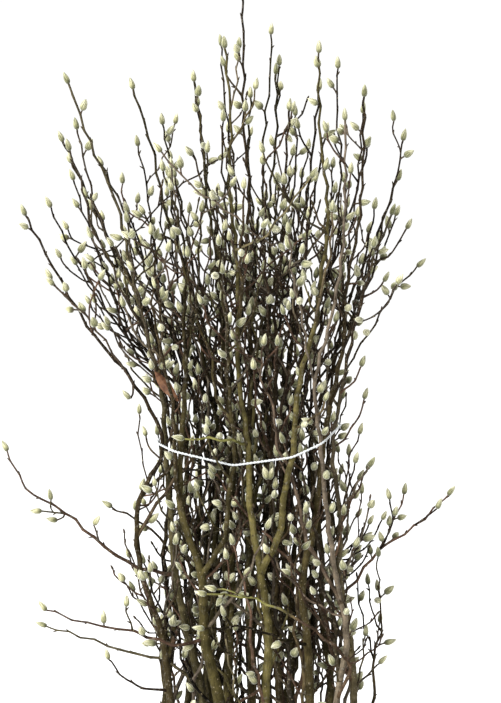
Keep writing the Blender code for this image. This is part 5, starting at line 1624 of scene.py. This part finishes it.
def areaLight(name, power, size, place, aimHeight):
    # A square light at place that points at the bundle's axis, aimHeight above the floor.
    data = bpy.data.lights.new(name, "AREA")
    data.energy, data.size = power, size
    lamp = bpy.data.objects.new(name, data)
    lamp.location = place
    lamp.rotation_euler = (Vector((0, 0, aimHeight)) - Vector(place)).to_track_quat("-Z", "Y").to_euler()
    bpy.context.scene.collection.objects.link(lamp)


def makeStudio():
    # A white world, a soft key light from the upper left, a weak fill, and the floor under the bundle.
    bpy.context.scene.view_settings.view_transform = "Standard"
    world = bpy.data.worlds.new("paleStudio")
    world.use_nodes = True
    background = world.node_tree.nodes["Background"]
    background.inputs[0].default_value = (1, 1, 1, 1)
    background.inputs[1].default_value = studio["world"]
    bpy.context.scene.world = world
    for light in studio["lights"]:
        areaLight(*light)
    half = studio["floorSize"] / 2
    corners = [(x * half, y * half, 0) for x, y in ((-1, -1), (1, -1), (1, 1), (-1, 1))]
    mesh = bpy.data.meshes.new("floor")
    mesh.from_pydata(corners, [], [(0, 1, 2, 3)])
    floor = bpy.data.objects.new("floor", mesh)
    material, _, shader = newMaterial("paleFloor", 0.9)
    shader.inputs["Base Color"].default_value = (*studio["floorColour"], 1)
    mesh.materials.append(material)
    bpy.context.scene.collection.objects.link(floor)


thicket, grown, corners = growAll()
print(f"{len(branches)} branches grown, {len(grown)} shoots")
fineDraw = random.Random(fineGrowth["seed"])
for kindOfLong in fineGrowth["longSets"]:
    growLongShoots(thicket, grown, corners, fineDraw, *kindOfLong)
print(f"{len(grown)} shoots with the long ones")
growTwigs(thicket, grown, fineDraw, fineGrowth["extraTwigs"], fineGrowth["clearGap"],
          fineGrowth["extraLengths"], True)
for shoot, path in enumerate(grown):
    if path["kind"] != "stem":
        path["points"][0] = ontoWood(grown[:shoot], path)
    fineLine(path, random.Random(woodLook["seed"] * 1000 + shoot))
flowers, leafBuds = jointBuds(thicket, grown)
print(f"{len(grown)} shoots, {len(flowers)} flower buds at joints, {len(leafBuds)} leaf buds")
makeBranches(grown, flowers, leafBuds, (makeBark(), makeSawnWood(), makeFur(), makeHair()))
print("branches made")
makeString(corners, makeStringWhite())
makeLeaf(grown, makeDryLeaf())
print("string and leaf made")
makeView()
makeStudio()
